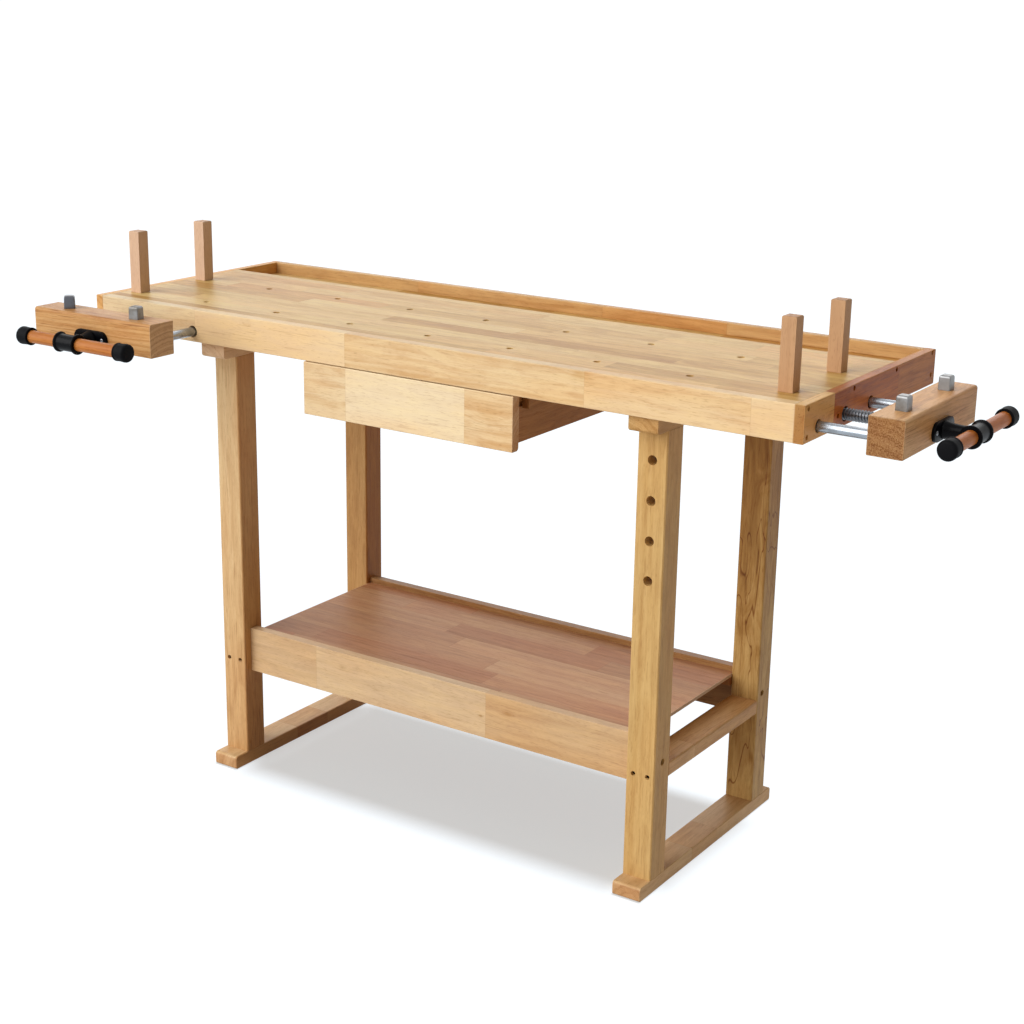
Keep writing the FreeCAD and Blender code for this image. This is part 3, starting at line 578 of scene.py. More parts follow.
@dataclass(frozen=True)
class Timber:
    """Clear-lacquered wood: its colours, its staves, how strongly its figure shows, and any
    painted light and shade.
    """

    deep: Rgb
    mid: Rgb
    pale: Rgb
    warm: Rgb
    stave: Place = (50.0, 0.60, 0.60)
    ring: float = 0.0045
    wander: float = 0.020
    spread: float = 0.4
    rings: float = 0.30
    fibres: float = 0.30
    mottle: float = 0.25
    blush: float = 0.30
    warmth: float = 0.5
    pores: float = 0.30
    streaks: float = 0.30
    gold: float = 0.45
    joint: float = 0.22
    lengths: tuple[Length, ...] = ()
    knots: tuple[Knot, ...] = ()
    tone: float = 0.5
    # Painted light and shade: tone change per metre along the fibres, paler towards one end.
    painted_shading_slope: float = 0.0
    stain: float = 0.0
    # Share of painted shade on the board's +X face.
    side_shade: float = 0.0
    end_shade: Colour = (0.80, 0.68, 0.62)
    end_rings: float = 0.35
    end_wash: float = 0.0
    speckle: float = 0.12
    # Share of the pale colour along edges: partly worn edges, partly a painted highlight.
    edge: float = 0.25
    gloss: float = 0.46
    gloss_swing: float = 0.16
    pore_gloss: float = 0.12
    edge_gloss: float = 0.10
    shine: float = 0.20
    relief: float = 0.25
    depth: float = 0.0004

    def knot_field(self, w: Wiring, place: Socket) -> tuple[Feed, Feed]:
        """How far the knots push the rings apart and how much they darken.

        Args:
            w: The material's wiring.
            place: Place from the board's middle, fibres along x.

        Returns:
            The push and the shade.
        """
        push, shade = 0.0, 0.0
        x, y, z = w.split(place)
        face = w.plus(y, z)
        for knot in self.knots:
            size = knot.size * MM
            dx = w.times(w.minus(x, knot.along * MM), KNOT_STRETCH / size)
            dy = w.times(w.minus(face, knot.across * MM), 1.0 / size)
            near = w.plus(w.times(dx, dx), w.times(dy, dy))
            bell = w.math("EXPONENT", w.times(near, -1.0))
            push = w.scaled(bell, knot.swell * MM, push)
            shade = w.scaled(w.math("POWER", bell, 4.0), knot.shade, shade)
        return push, shade

    def steps_along(self, w: Wiring, seed: float, fibre_place: Feed) -> tuple[Feed, ...]:
        """How tone, warmth, figure and glue step along the glued-on lengths, and how the tone
        slopes along the fibres as painted light and shade.

        Args:
            w: The material's wiring.
            seed: Number that sets this board's own figure.
            fibre_place: Place along the fibres from the board's middle.

        Returns:
            Tone, warmth, figure seed and glue line.
        """
        # The slope paints light and shade along the fibres.
        tone = w.scaled(fibre_place, self.painted_shading_slope, self.tone)
        warmth, figure, glue = 0.0, seed, 0.0
        for length in self.lengths:
            past = w.math("GREATER_THAN", fibre_place, length.start * MM)
            tone = w.scaled(past, length.tone, tone)
            warmth = w.scaled(past, length.warmth, warmth)
            figure = w.scaled(past, NEXT_FIGURE, figure)
            gap = w.math("ABSOLUTE", w.minus(fibre_place, length.start * MM))
            glue = w.math("MAXIMUM", w.fit(gap, 0.0, GLUE_WIDTH, 1.0, 0.0), glue)
        return tone, warmth, figure, glue

    def material(self, name: str, grain: Grain, low: Vector, high: Vector,
                 seed: float) -> Finish:
        """The finish for one board.

        Args:
            name: The material's name.
            grain: Axis of the fibres.
            low: The board's lowest corner.
            high: The board's highest corner.
            seed: Number that sets this board's own figure.

        Returns:
            The material.
        """
        material, w, shader = new_material(name)
        source = w.split(w.add("TexCoord").outputs["Object"])
        position = w.join(*[source[axis] for axis in grain.value])
        # Painted shade: a band next to the board's +X face is darkened because that side lies in
        # shade.
        side_shade = w.fit(source[0], high.x - SIDE_SHADE_REACH, high.x - SIDE_SHADE_FULL)
        low, high = grain.turned(low), grain.turned(high)
        place = w.vector("SUBTRACT", position, (low + high) / 2)
        tone, warmth, figure, glue = self.steps_along(w, seed, w.split(place)[0])
        push, shade = self.knot_field(w, place)
        staves = Effects.grain.place(
            w, Position=place, Stave_Length=self.stave[0], Stave_Width=self.stave[1],
            Stave_Depth=self.stave[2], Ring_Spacing=self.ring, Wander=self.wander, Knots=push,
            Seed=figure)
        edges = Effects.edges.place(w, Position=position, Low=low, High=high, Width=EDGE_WIDTH)
        tone = w.minus(tone, shade)
        for mark, share in (("Tone", self.spread), ("Rings", self.rings),
                            ("Fibres", self.fibres), ("Mottle", self.mottle)):
            tone = w.scaled(w.minus(staves[mark], 0.5), share, tone)
        grit = w.fit(w.cloud(position, *END_GRIT), *END_GRIT_LEVELS)
        for figured, share in ((staves["Rings"], self.end_rings), (grit, self.speckle)):
            tone = w.scaled(w.times(edges["End"], w.minus(figured, 0.5)), share, tone)
        shades = [linear(shade) for shade in (self.deep, self.mid, self.pale)]
        colour = w.ramp(tone, tuple(zip((0.0, 0.5, 1.0), shades)))
        warm = w.scaled(w.fit(staves["Warmth"], 0.35, 1.0), self.warmth, warmth)
        warm = w.scaled(staves["Blush"], self.blush, warm, clamp=True)
        flecks = w.scaled(staves["Pores"], self.pores, w.times(staves["Streaks"], self.streaks),
                          clamp=True)
        glue = w.math("MAXIMUM", staves["Joint"], glue)
        for mask, share, tint, mode in (
                (warm, 1.0, linear(self.warm), "MULTIPLY"),
                (staves["Mottle"], self.gold, GOLD, "MULTIPLY"),
                (edges["End"], 1.0, self.end_shade, "MULTIPLY"),
                (edges["End"], self.end_wash, RAW_END, "MIX"),
                (staves["Stain"], self.stain, STAIN, "MULTIPLY"),
                # Painted shade on the +X face; the flecks are the wood's own pores and streaks.
                (side_shade, self.side_shade, SIDE_SHADE_TINT, "MULTIPLY"), (flecks, 1.0, FLECK, "MULTIPLY"),
                (glue, self.joint, GLUE, "MULTIPLY"),
                # Paler edges: partly wear, partly a painted highlight.
                (edges["Edge"], self.edge, linear(self.pale), "MIX")):
            colour = w.blend(w.times(mask, share), colour, tint, mode)
        w.feed(shader.inputs["Base Color"], colour)
        rough = w.scaled(staves["Fibres"], self.gloss_swing, self.gloss - self.gloss_swing / 2)
        rough = w.scaled(staves["Pores"], self.pore_gloss, rough)
        w.feed(shader.inputs["Roughness"], w.scaled(edges["Edge"], self.edge_gloss, rough))
        height = w.scaled(staves["Rings"], 0.25, w.times(staves["Fibres"], 0.6))
        height = w.scaled(glue, -0.8, w.scaled(staves["Pores"], -0.6, height))
        w.relief(shader, height, self.relief, self.depth)
        shader.inputs["Specular IOR Level"].default_value = self.shine
        return material


@dataclass(frozen=True)
class Metal:
    """Bare plated steel with fine turning lines."""

    colour: Rgb
    shade: Rgb
    rough: float = 0.2
    rough_swing: float = 0.16
    patch_rough: float = 0.10
    relief: float = 0.08
    patch: float = 38.0
    patch_range: tuple[float, float] = (0.42, 0.72)
    depth: float = 0.0002

    def material(self, name: str, stretch: Place, seed: float) -> Finish:
        """The finish for one fitting.

        Args:
            name: The material's name.
            stretch: How tight the scratches are along each axis.
            seed: Number that moves the pattern.

        Returns:
            The material.
        """
        material, w, shader = new_material(name)
        marks = Effects.handling.place(w, Position=w.add("TexCoord").outputs["Object"],
                                       Stretch=stretch, Patch=self.patch, Seed=seed)
        patches = w.fit(marks["Patches"], *self.patch_range)
        colour = w.blend(patches, linear(self.colour), linear(self.shade))
        w.feed(shader.inputs["Base Color"], colour)
        rough = w.scaled(marks["Scratches"], self.rough_swing, self.rough - self.rough_swing / 2)
        w.feed(shader.inputs["Roughness"], w.scaled(patches, self.patch_rough, rough))
        shader.inputs["Metallic"].default_value = 1.0
        w.relief(shader, marks["Scratches"], self.relief, self.depth)
        return material


@dataclass(frozen=True)
class Coating:
    """Black enamel on cast iron, or moulded black rubber."""

    colour: Rgb
    worn: Rgb
    rough: float
    relief: float
    specular: float = 0.5
    rough_swing: float = 0.24
    grit: float = 0.5
    scratch: Place = (240.0, 240.0, 240.0)
    patch: float = 70.0
    patch_range: tuple[float, float] = (0.52, 0.78)
    depth: float = 0.0003

    def material(self, name: str, seed: float) -> Finish:
        """The finish for one fitting.

        Args:
            name: The material's name.
            seed: Number that moves the pattern.

        Returns:
            The material.
        """
        material, w, shader = new_material(name)
        marks = Effects.handling.place(w, Position=w.add("TexCoord").outputs["Object"],
                                       Stretch=self.scratch, Patch=self.patch, Seed=seed)
        rubbed = w.fit(marks["Patches"], *self.patch_range)
        colour = w.blend(rubbed, linear(self.colour), linear(self.worn))
        w.feed(shader.inputs["Base Color"], colour)
        rough = w.scaled(marks["Patches"], self.rough_swing, self.rough - self.rough_swing / 2)
        w.feed(shader.inputs["Roughness"], rough)
        shader.inputs["Specular IOR Level"].default_value = self.specular
        height = w.scaled(marks["Grit"], self.grit, marks["Scratches"])
        w.relief(shader, height, self.relief, self.depth)
        return material


SLAB_WOOD = Timber(
    deep=(182, 138, 76), mid=(208, 172, 112), pale=(228, 200, 146), warm=(250, 224, 204),
    stave=(0.46, 0.0427, 0.20), spread=0.80, rings=0.25, fibres=0.34, mottle=0.50, blush=0.18,
    gold=0.9, warmth=0.6, streaks=0.5, joint=0.15, gloss=0.40, shine=0.08)
APRON_WOOD = Timber(
    deep=(204, 166, 114), mid=(229, 208, 174), pale=(240, 222, 190), warm=(255, 236, 214),
    rings=0.26, fibres=0.28, mottle=0.32, blush=0.4, gold=0.6, streaks=0.22, tone=0.56, joint=0.12,
    lengths=(Length(-460.0, 0.12), Length(-127.0, -0.24, 0.3), Length(336.0, 0.06, -0.3),
             Length(616.0, -0.06, 0.1)),
    knots=(Knot(-610.0, -10.0, 14.0), Knot(-340.0, 6.0, 9.0, 14.0), Knot(330.0, 12.0, 16.0)))
DRAWER_WOOD = replace(
    APRON_WOOD, tone=0.62, gold=0.45, lengths=(Length(-122.0, -0.04), Length(119.0, -0.34)),
    knots=(Knot(165.0, 0.0, 14.0, 16.0, 0.1),))
STRETCHER_WOOD = replace(
    APRON_WOOD, tone=0.84, deep=(174, 138, 96), mid=(198, 170, 136), pale=(216, 190, 158),
    lengths=(Length(-250.0, -0.30, 0.1), Length(120.0, -0.10, 0.1)),
    knots=(Knot(-190.0, 5.0, 7.0, 14.0, 0.35), Knot(110.0, -12.0, 4.0, 12.0, 0.9),
           Knot(165.0, 4.0, 8.0, 14.0, 0.35)))
RAIL_WOOD = Timber(
    deep=(180, 132, 76), mid=(206, 166, 114), pale=(226, 192, 142), warm=(252, 226, 194),
    tone=0.40, mottle=0.30, rings=0.4,
    lengths=(Length(-330.0, 0.10, 0.1), Length(80.0, -0.16), Length(330.0, 0.12)))
LEFT_CAP_WOOD = Timber(
    deep=(206, 150, 84), mid=(236, 192, 130), pale=(244, 212, 160), warm=(246, 222, 190),
    rings=0.4, wander=0.035, end_shade=(0.92, 0.88, 0.84))
# Painted shade darkens the cap's outer +X face (the 0.3 share).
RIGHT_CAP_WOOD = Timber(
    deep=(152, 92, 32), mid=(192, 134, 66), pale=(226, 184, 120), warm=(250, 212, 150), rings=0.50,
    wander=0.035, tone=0.90, side_shade=0.3, mottle=0.35, streaks=0.6, end_shade=(0.56, 0.47, 0.42),
    lengths=(Length(-145.0, -0.56, 0.5), Length(95.0, -0.08)),
    knots=(Knot(-190.0, 0.0, 18.0, 18.0),))
LEG_WOOD = Timber(
    deep=(182, 141, 92), mid=(212, 178, 133), pale=(230, 205, 165), warm=(252, 232, 206),
    spread=0.1, rings=0.28, fibres=0.32, mottle=0.28, blush=0.35, gold=0.30, streaks=0.3)
# Painted light and shade: the tone grows paler towards the top of the leg, and its +X face is
# darkened as painted shade.
LEFT_LEG_WOOD = replace(LEG_WOOD, painted_shading_slope=0.7, warm=(252, 224, 196), streaks=0.4, side_shade=0.8)
# Painted shade on the leg's +X face; its darker colours are the leg's own tone.
RIGHT_LEG_WOOD = replace(
    LEG_WOOD, side_shade=0.25, deep=(170, 128, 72), mid=(201, 166, 110), pale=(220, 190, 138))
# Painted shade: a darker copy of the leg wood for the rear left leg, with its +X face darkened
# further.
SHADED_LEG_WOOD = replace(
    LEG_WOOD, side_shade=1.0, deep=(150, 106, 60), mid=(182, 142, 92), pale=(204, 168, 118))
# Painted shade: darker colours and a tone that darkens towards the top stand for the shade under
# the bench top; the knot, stain and wavy rings are the leg's own figure.
FIGURED_SHADED_LEG_WOOD = replace(
    LEG_WOOD, deep=(128, 86, 34), mid=(168, 129, 74), pale=(200, 168, 112), rings=0.3, wander=0.06,
    ring=0.012, stain=0.9, mottle=0.5, painted_shading_slope=-0.8, knots=(Knot(-292.0, -4.0, 9.0, 12.0, 0.5),))
# Painted shade: a darker copy of the leg wood for the rear stretcher, whose front face lies in
# shade.
SHADED_REAR_WOOD = replace(LEG_WOOD, deep=(112, 72, 36), mid=(146, 104, 62), pale=(176, 134, 88))
FOOT_WOOD = replace(
    LEG_WOOD, tone=0.45, lengths=(Length(-60.0, -0.12, 0.4), Length(30.0, 0.1, -0.3)))
# Painted shade on the left foot's +X face, which faces in under the bench.
LEFT_FOOT_WOOD = replace(FOOT_WOOD, side_shade=0.9)
SIDE_RAIL_WOOD = replace(LEG_WOOD, tone=0.35, lengths=(Length(-70.0, -0.2, 0.2),))
LEFT_TOP_RAIL_WOOD = replace(
    LEG_WOOD, deep=(204, 166, 124), mid=(228, 196, 160), pale=(240, 214, 182),
    end_shade=(0.97, 0.96, 1.0))
RIGHT_TOP_RAIL_WOOD = replace(RIGHT_LEG_WOOD, tone=0.4, end_shade=(0.98, 0.96, 1.0))
SHELF_WOOD = Timber(
    deep=(158, 112, 80), mid=(186, 142, 108), pale=(206, 168, 132), warm=(250, 224, 208),
    stave=(0.40, 0.055, 0.20), warmth=0.6, shine=0.10, end_shade=(1.0, 1.0, 1.0), end_wash=0.8)
INNER_WOOD = Timber(
    deep=(132, 86, 44), mid=(160, 112, 64), pale=(192, 146, 94), warm=(250, 222, 190), gloss=0.55)
FRONT_JAW_WOOD = Timber(
    deep=(158, 104, 54), mid=(196, 146, 92), pale=(222, 184, 134), warm=(252, 228, 204),
    ring=0.0024, wander=0.010, rings=0.55, fibres=0.5, streaks=0.6, mottle=0.25,
    end_shade=(1.0, 1.0, 1.0), end_rings=0.9, end_wash=0.45)
END_JAW_WOOD = replace(
    FRONT_JAW_WOOD, deep=(166, 118, 68), mid=(216, 178, 130), pale=(236, 206, 164), rings=0.4,
    wander=0.02, end_shade=(0.50, 0.42, 0.35), end_rings=0.2, end_wash=0.0, speckle=0.9)
DOG_WOOD = Timber(
    deep=(202, 168, 138), mid=(217, 187, 162), pale=(229, 203, 178), warm=(255, 238, 226),
    spread=0.1, rings=0.16, fibres=0.22, mottle=0.12, blush=0.2, streaks=0.15, gold=0.2,
    gloss=0.52, end_shade=(0.85, 0.76, 0.70))
RIGHT_DOG_WOOD = replace(DOG_WOOD, deep=(176, 134, 98), mid=(196, 157, 120), pale=(210, 175, 138))
HANDLE_WOOD = Timber(
    deep=(148, 82, 26), mid=(182, 112, 48), pale=(206, 142, 78), warm=(255, 225, 200),
    stave=(0.60, 0.30, 0.30), spread=0.2, rings=0.35, fibres=0.4, warmth=0.4, gloss=0.42, edge=0.0)
ROD_STEEL = Metal((160, 166, 173), (136, 140, 144), rough=0.26)
THREAD_STEEL = Metal((112, 114, 118), (84, 84, 86), rough=0.34)
DOG_STEEL = Metal((134, 134, 134), (104, 100, 94), rough=0.40, relief=0.15)
DARK_DOG_STEEL = Metal((100, 101, 106), (74, 72, 72), rough=0.34, relief=0.15)
SCREW_STEEL = Metal((150, 152, 156), (110, 108, 104), rough=0.36)
BLACK_ENAMEL = Coating((5, 5, 8), (14, 14, 18), rough=0.32, relief=0.12, specular=0.07)
BLACK_RUBBER = Coating((6, 6, 9), (16, 16, 20), rough=0.6, relief=0.3, specular=0.08)


# ---------------------------------------------------------------- mesh helpers
WELD = 1e-6
NEAR = 0.01
SHARP, CRISP, FLAT = 35.0, 25.0, 0.6


def eased(made: Making, edges: Sequence[bmesh.types.BMEdge], width: float, steps: int) -> None:
    """Bevel some edges by a width in metres."""
    bmesh.ops.bevel(made, geom=edges, offset=width, offset_type="OFFSET", segments=steps,
                    profile=0.5, affect="EDGES", clamp_overlap=True, material=-1)


def new_piece(name: str, made: Making, sharp: float = SHARP) -> Piece:
    """Turn a mesh in the making into a smooth-shaded object.

    Args:
        name: The piece's name.
        made: The mesh in the making, which is used up.
        sharp: Angle in degrees above which an edge stays sharp.

    Returns:
        The object, at the origin.
    """
    mesh = bpy.data.meshes.new(name)
    made.to_mesh(mesh)
    made.free()
    piece = bpy.data.objects.new(name, mesh)
    bpy.context.scene.collection.objects.link(piece)
    mesh.shade_smooth()
    mesh.set_sharp_from_angle(angle=math.radians(sharp))
    return piece


def even_shading(piece: Piece) -> None:
    """Keep broad faces flat to the eye beside their softened edges.

    Args:
        piece: The piece.
    """
    modifier = piece.modifiers.new("even_shading", "WEIGHTED_NORMAL")
    modifier.keep_sharp = True
    modifier.weight = 100


def softened(node: str, ease: float) -> Piece:
    """A copy of a CAD node with its crisp edges eased.

    Args:
        node: The node's name.
        ease: Width of the easing.

    Returns:
        The new piece.
    """
    made = bmesh.new()
    made.from_mesh(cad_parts[node].data)
    bmesh.ops.remove_doubles(made, verts=made.verts[:], dist=WELD)
    bmesh.ops.dissolve_limit(made, angle_limit=math.radians(FLAT), verts=made.verts[:],
                             edges=made.edges[:])
    eased(made, [edge for edge in made.edges if len(edge.link_faces) == 2
                 and edge.calc_face_angle(0.0) > math.radians(CRISP)], ease, 2)
    bmesh.ops.recalc_face_normals(made, faces=made.faces[:])
    return new_piece(node + "_board", made)


def along(axis: Vector) -> Matrix:
    """Turn local Z to point along an axis."""
    return axis.to_track_quat("Z", "Y").to_matrix().to_4x4()


def turning(profile: Outline, start: Vector, axis: Vector, steps: int = 48) -> Making:
    """The mesh of a turned form.

    Args:
        profile: Distance along the axis and radius of each point, in millimetres.
        start: Where the axis starts.
        axis: The lathe axis.
        steps: Facets round the form.

    Returns:
        The mesh in the making.
    """
    made = bmesh.new()
    points = [made.verts.new((radius * MM, 0.0, distance * MM)) for distance, radius in profile]
    edges = [made.edges.new(pair) for pair in zip(points, points[1:])]
    bmesh.ops.spin(made, geom=points + edges, cent=(0, 0, 0), axis=(0, 0, 1), dvec=(0, 0, 0),
                   angle=math.tau, steps=steps, use_merge=True, use_duplicate=False)
    bmesh.ops.remove_doubles(made, verts=made.verts[:], dist=WELD)
    bmesh.ops.recalc_face_normals(made, faces=made.faces[:])
    bmesh.ops.transform(made, matrix=Matrix.Translation(start) @ along(axis), verts=made.verts[:])
    return made


def joined(name: str, parts: Sequence[Making], sharp: float = SHARP) -> Piece:
    """One piece of several meshes in the making.

    Args:
        name: The piece's name.
        parts: The meshes, which are used up.
        sharp: Angle in degrees above which an edge stays sharp.

    Returns:
        The new piece.
    """
    whole = bmesh.new()
    for part in parts:
        carrier = bpy.data.meshes.new("carrier")
        part.to_mesh(carrier)
        part.free()
        whole.from_mesh(carrier)
        bpy.data.meshes.remove(carrier)
    return new_piece(name, whole, sharp)


@dataclass(frozen=True)
class Bore:
    """A round recess: where it starts, which way it goes, its radius and its depth."""

    point: Vector
    inward: Vector
    radius: float
    depth: float


def bored(place: Sequence[float], inward: Vector, radius: float, depth: float) -> Bore:
    """A recess given in millimetres."""
    return Bore(Vector(place) * MM, inward, radius * MM, depth * MM)


def drilled(piece: Piece, bores: Sequence[Bore]) -> Piece:
    """Cut round recesses into a piece.

    Args:
        piece: The piece.
        bores: The recesses.

    Returns:
        The same piece with its new mesh.
    """
    made = bmesh.new()
    for bore in bores:
        bmesh.ops.create_cone(made, cap_ends=True, segments=24, radius1=bore.radius,
                              radius2=bore.radius, depth=2 * bore.depth,
                              matrix=Matrix.Translation(bore.point) @ along(bore.inward))
    cutter = new_piece("cutter", made)
    modifier = piece.modifiers.new("bores", "BOOLEAN")
    modifier.operation, modifier.solver, modifier.object = "DIFFERENCE", "EXACT", cutter
    graph = bpy.context.evaluated_depsgraph_get()
    graph.update()
    cut = bpy.data.meshes.new_from_object(piece.evaluated_get(graph))
    piece.modifiers.clear()
    old, piece.data = piece.data, cut
    cut.name = piece.name
    bpy.data.meshes.remove(old)
    bpy.data.meshes.remove(cutter.data)
    cut.set_sharp_from_angle(angle=math.radians(SHARP))
    return piece


def sunk_screws(bores: Sequence[Bore], drop: float) -> list[Making]:
    """A socketed screw head at the bottom of each recess.

    Args:
        bores: The recesses.
        drop: How far below the surface a head's top lies, in millimetres.

    Returns:
        The meshes in the making.
    """
    heads = []
    for bore in bores:
        r, top = bore.radius * 0.70 / MM, (bore.depth - drop * MM) / MM
        profile = ((0.0, 0.0), (0.0, r), (top * 0.6, r), (top, r * 0.72), (top, r * 0.42),
                   (top * 0.55, r * 0.38), (top * 0.55, 0.0))
        heads.append(turning(profile, bore.point + bore.inward * bore.depth, -bore.inward, 12))
    return heads


def seat(piece: Piece, body: str, material: Finish,
         stands_for: Sequence[str] = ()) -> Piece:
    """Put a finished piece on its body.

    Args:
        piece: The piece.
        body: The body that it rides on.
        material: Its finish.
        stands_for: CAD nodes that it replaces.

    Returns:
        The same piece.
    """
    piece.data.materials.clear()
    piece.data.materials.append(material)
    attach(piece, body)
    if stands_for:
        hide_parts(*stands_for)
    log.info("piece %s on %s, %d faces", piece.name, body, len(piece.data.polygons))
    return piece


def wood_finish(node: str, wood: Timber, grain: Grain, seed: float) -> Finish:
    """The wood of one CAD node, with a figure of its own."""
    return wood.material("wood_" + node, grain, *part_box(node), seed)


def dressed(node: str, wood: Timber, grain: Grain, seed: float) -> None:
    """Give a CAD node that keeps its shape its own wood.

    Args:
        node: The node's name.
        wood: Its wood.
        grain: Axis of its fibres.
        seed: Number that sets its own figure.
    """
    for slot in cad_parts[node].material_slots:
        slot.material = wood_finish(node, wood, grain, seed)
    log.info("node %s kept and dressed", node)


@dataclass(frozen=True)
class Board:
    """One board of a sub-assembly: its CAD node, its wood, its fibres and its own figure."""

    node: str
    wood: Timber
    grain: Grain
    slot: str
    seed: float
    ease: float = 0.8
    bores: tuple[Bore, ...] = ()

    def build(self, body: str) -> None:
        """Make the board.

        Args:
            body: The body that it rides on.
        """
        piece = softened(self.node, self.ease * MM)
        if self.bores:
            drilled(piece, self.bores)
        even_shading(piece)
        finish = wood_finish(self.node, self.wood, self.grain, self.seed)
        seat(piece, body, finish, (self.node,))


# ---------------------------------------------------------------- sub-assemblies
@dataclass
class BenchTop:
    """The slab with its apron, end caps, rear rail and tool tray."""

    body: str = "bench"
    end_face: float = 700.0
    end_screws: tuple[tuple[float, float], ...] = (
        (-233.4, 853.5), (-234.3, 811.6), (-76.2, 854.3), (84.2, 854.5), (230.3, 855.9),
        (230.4, 820.0))
    extra_right: tuple[tuple[float, float], ...] = ((-130.0, 822.7),)
    end_bore: tuple[float, float] = (3.9, 8.0)
    end_drop: float = 3.6
    tray_screws: tuple[Place, ...] = ((-134.0, 223.0, 839.0), (134.0, 223.0, 839.0))
    tray_bore: tuple[float, float] = (2.6, 2.0)
    tray_drop: float = 0.6
    kept: tuple[tuple[str, Timber, Grain], ...] = (
        ("tray_battens", INNER_WOOD, Grain.Y), ("top_bearer_left", LEG_WOOD, Grain.Y),
        ("top_bearer_right", LEG_WOOD, Grain.Y), ("drawer_hanger_left", INNER_WOOD, Grain.Y),
        ("drawer_hanger_right", INNER_WOOD, Grain.Y),
        ("front_vise_guide_block", INNER_WOOD, Grain.X),
        ("end_vise_guide_block", INNER_WOOD, Grain.Y))

    def bores(self, side: float) -> tuple[Bore, ...]:
        """The screw recesses of one end cap.

        Args:
            side: -1 for the left-hand cap and 1 for the right-hand one.

        Returns:
            The recesses.
        """
        places = self.end_screws + (self.extra_right if side > 0 else ())
        return tuple(bored((side * self.end_face, y, z), -side * X_AXIS, *self.end_bore)
                     for y, z in places)

    def build(self) -> None:
        """Make every piece of the top."""
        left, right = self.bores(-1.0), self.bores(1.0)
        tray = tuple(bored(place, -Z_AXIS, *self.tray_bore) for place in self.tray_screws)
        for board in (
                Board("top_slab", SLAB_WOOD, Grain.X, "top_wood", 9.0, 0.5),
                Board("tray_bottom", SLAB_WOOD, Grain.X, "top_wood", 8.0, 0.4, tray),
                Board("front_apron", APRON_WOOD, Grain.X, "honey_wood", 5.0),
                Board("rear_rail", RAIL_WOOD, Grain.X, "honey_wood", 2.0),
                Board("end_cap_left", LEFT_CAP_WOOD, Grain.Y, "honey_wood", 4.0, 2.2, left),
                Board("end_cap_right", RIGHT_CAP_WOOD, Grain.Y, "honey_wood", 7.0, 2.2, right)):
            board.build(self.body)
        for seed, (node, wood, grain) in enumerate(self.kept, 1):
            dressed(node, wood, grain, float(seed))
        screws = joined("end_cap_screws", sunk_screws(left + right, self.end_drop))
        seat(screws, self.body, BLACK_ENAMEL.material("fixing_end_caps", 1.0))
        screws = joined("tray_screws", sunk_screws(tray, self.tray_drop))
        seat(screws, self.body,
             SCREW_STEEL.material("fixing_tray", FIXING_LINES, 2.0))


@dataclass
class LegFrames:
    """Two leg frames, the stretchers between them and the shelf."""

    body: str = "bench"
    front_face: float = 202.5
    rear_face: float = 207.5
    centres: tuple[float, float] = (-429.5, 435.0)
    outer_faces: tuple[float, float] = (-455.5, 461.0)
    screw_spread: float = 13.0
    screw_level: float = 205.0
    bolt_offset: float = 177.5
    bolt_level: float = 226.0
    screw_bore: tuple[float, float] = (4.2, 8.0)
    bolt_bore: tuple[float, float] = (5.8, 9.0)
    head_drop: float = 4.0
    woods: tuple[dict[str, Timber], ...] = (
        {"leg_front": LEFT_LEG_WOOD, "leg_rear": SHADED_LEG_WOOD, "foot": LEFT_FOOT_WOOD,
         "top_rail": LEFT_TOP_RAIL_WOOD},
        {"leg_front": RIGHT_LEG_WOOD, "leg_rear": FIGURED_SHADED_LEG_WOOD, "foot": FOOT_WOOD,
         "top_rail": RIGHT_TOP_RAIL_WOOD})

    def leg_bores(self, step: int, front: bool) -> tuple[Bore, ...]:
        """The recesses of one leg.

        Args:
            step: 0 for the left-hand frame and 1 for the right-hand one.
            front: Whether it is the front leg.

        Returns:
            Two screw recesses and one bolt recess.
        """
        out, face = (-1.0, self.front_face) if front else (1.0, self.rear_face)
        centre, outer = self.centres[step], self.outer_faces[step]
        bores = [bored((centre + shift, out * face, self.screw_level), -out * Y_AXIS,
                       *self.screw_bore) for shift in (-self.screw_spread, self.screw_spread)]
        bolt = (outer, out * self.bolt_offset, self.bolt_level)
        return (*bores, bored(bolt, (X_AXIS, -X_AXIS)[step], *self.bolt_bore))

    def build(self) -> None:
        """Make every piece of the stand."""
        fixings, boards = [], []
        for step, (side, woods) in enumerate(zip(("left", "right"), self.woods)):
            seed = 10.0 * step
            for part, front in (("leg_front", True), ("leg_rear", False)):
                bores = self.leg_bores(step, front)
                fixings += sunk_screws(bores, self.head_drop)
                seed += 1.0
                boards.append(Board(part + "_" + side, woods[part], Grain.Z, "frame_wood", seed,
                                    bores=bores))
            for part, wood, ease in (("foot_", woods["foot"], 2.6),
                                     ("side_rail_", SIDE_RAIL_WOOD, 0.8),
                                     ("top_rail_", woods["top_rail"], 0.8)):
                seed += 1.0
                boards.append(Board(part + side, wood, Grain.Y, "frame_wood", seed, ease))
        boards += [Board("front_stretcher", STRETCHER_WOOD, Grain.X, "frame_wood", 6.0),
                   Board("rear_stretcher", SHADED_REAR_WOOD, Grain.X, "frame_wood", 9.0),
                   Board("shelf_board", SHELF_WOOD, Grain.X, "shelf_wood", 3.0, 0.4)]
        for board in boards:
            board.build(self.body)
        dressed("shelf_cleats", INNER_WOOD, Grain.X, 8.0)
        seat(joined("frame_screws", fixings), self.body,
             BLACK_ENAMEL.material("fixing_frames", 3.0))


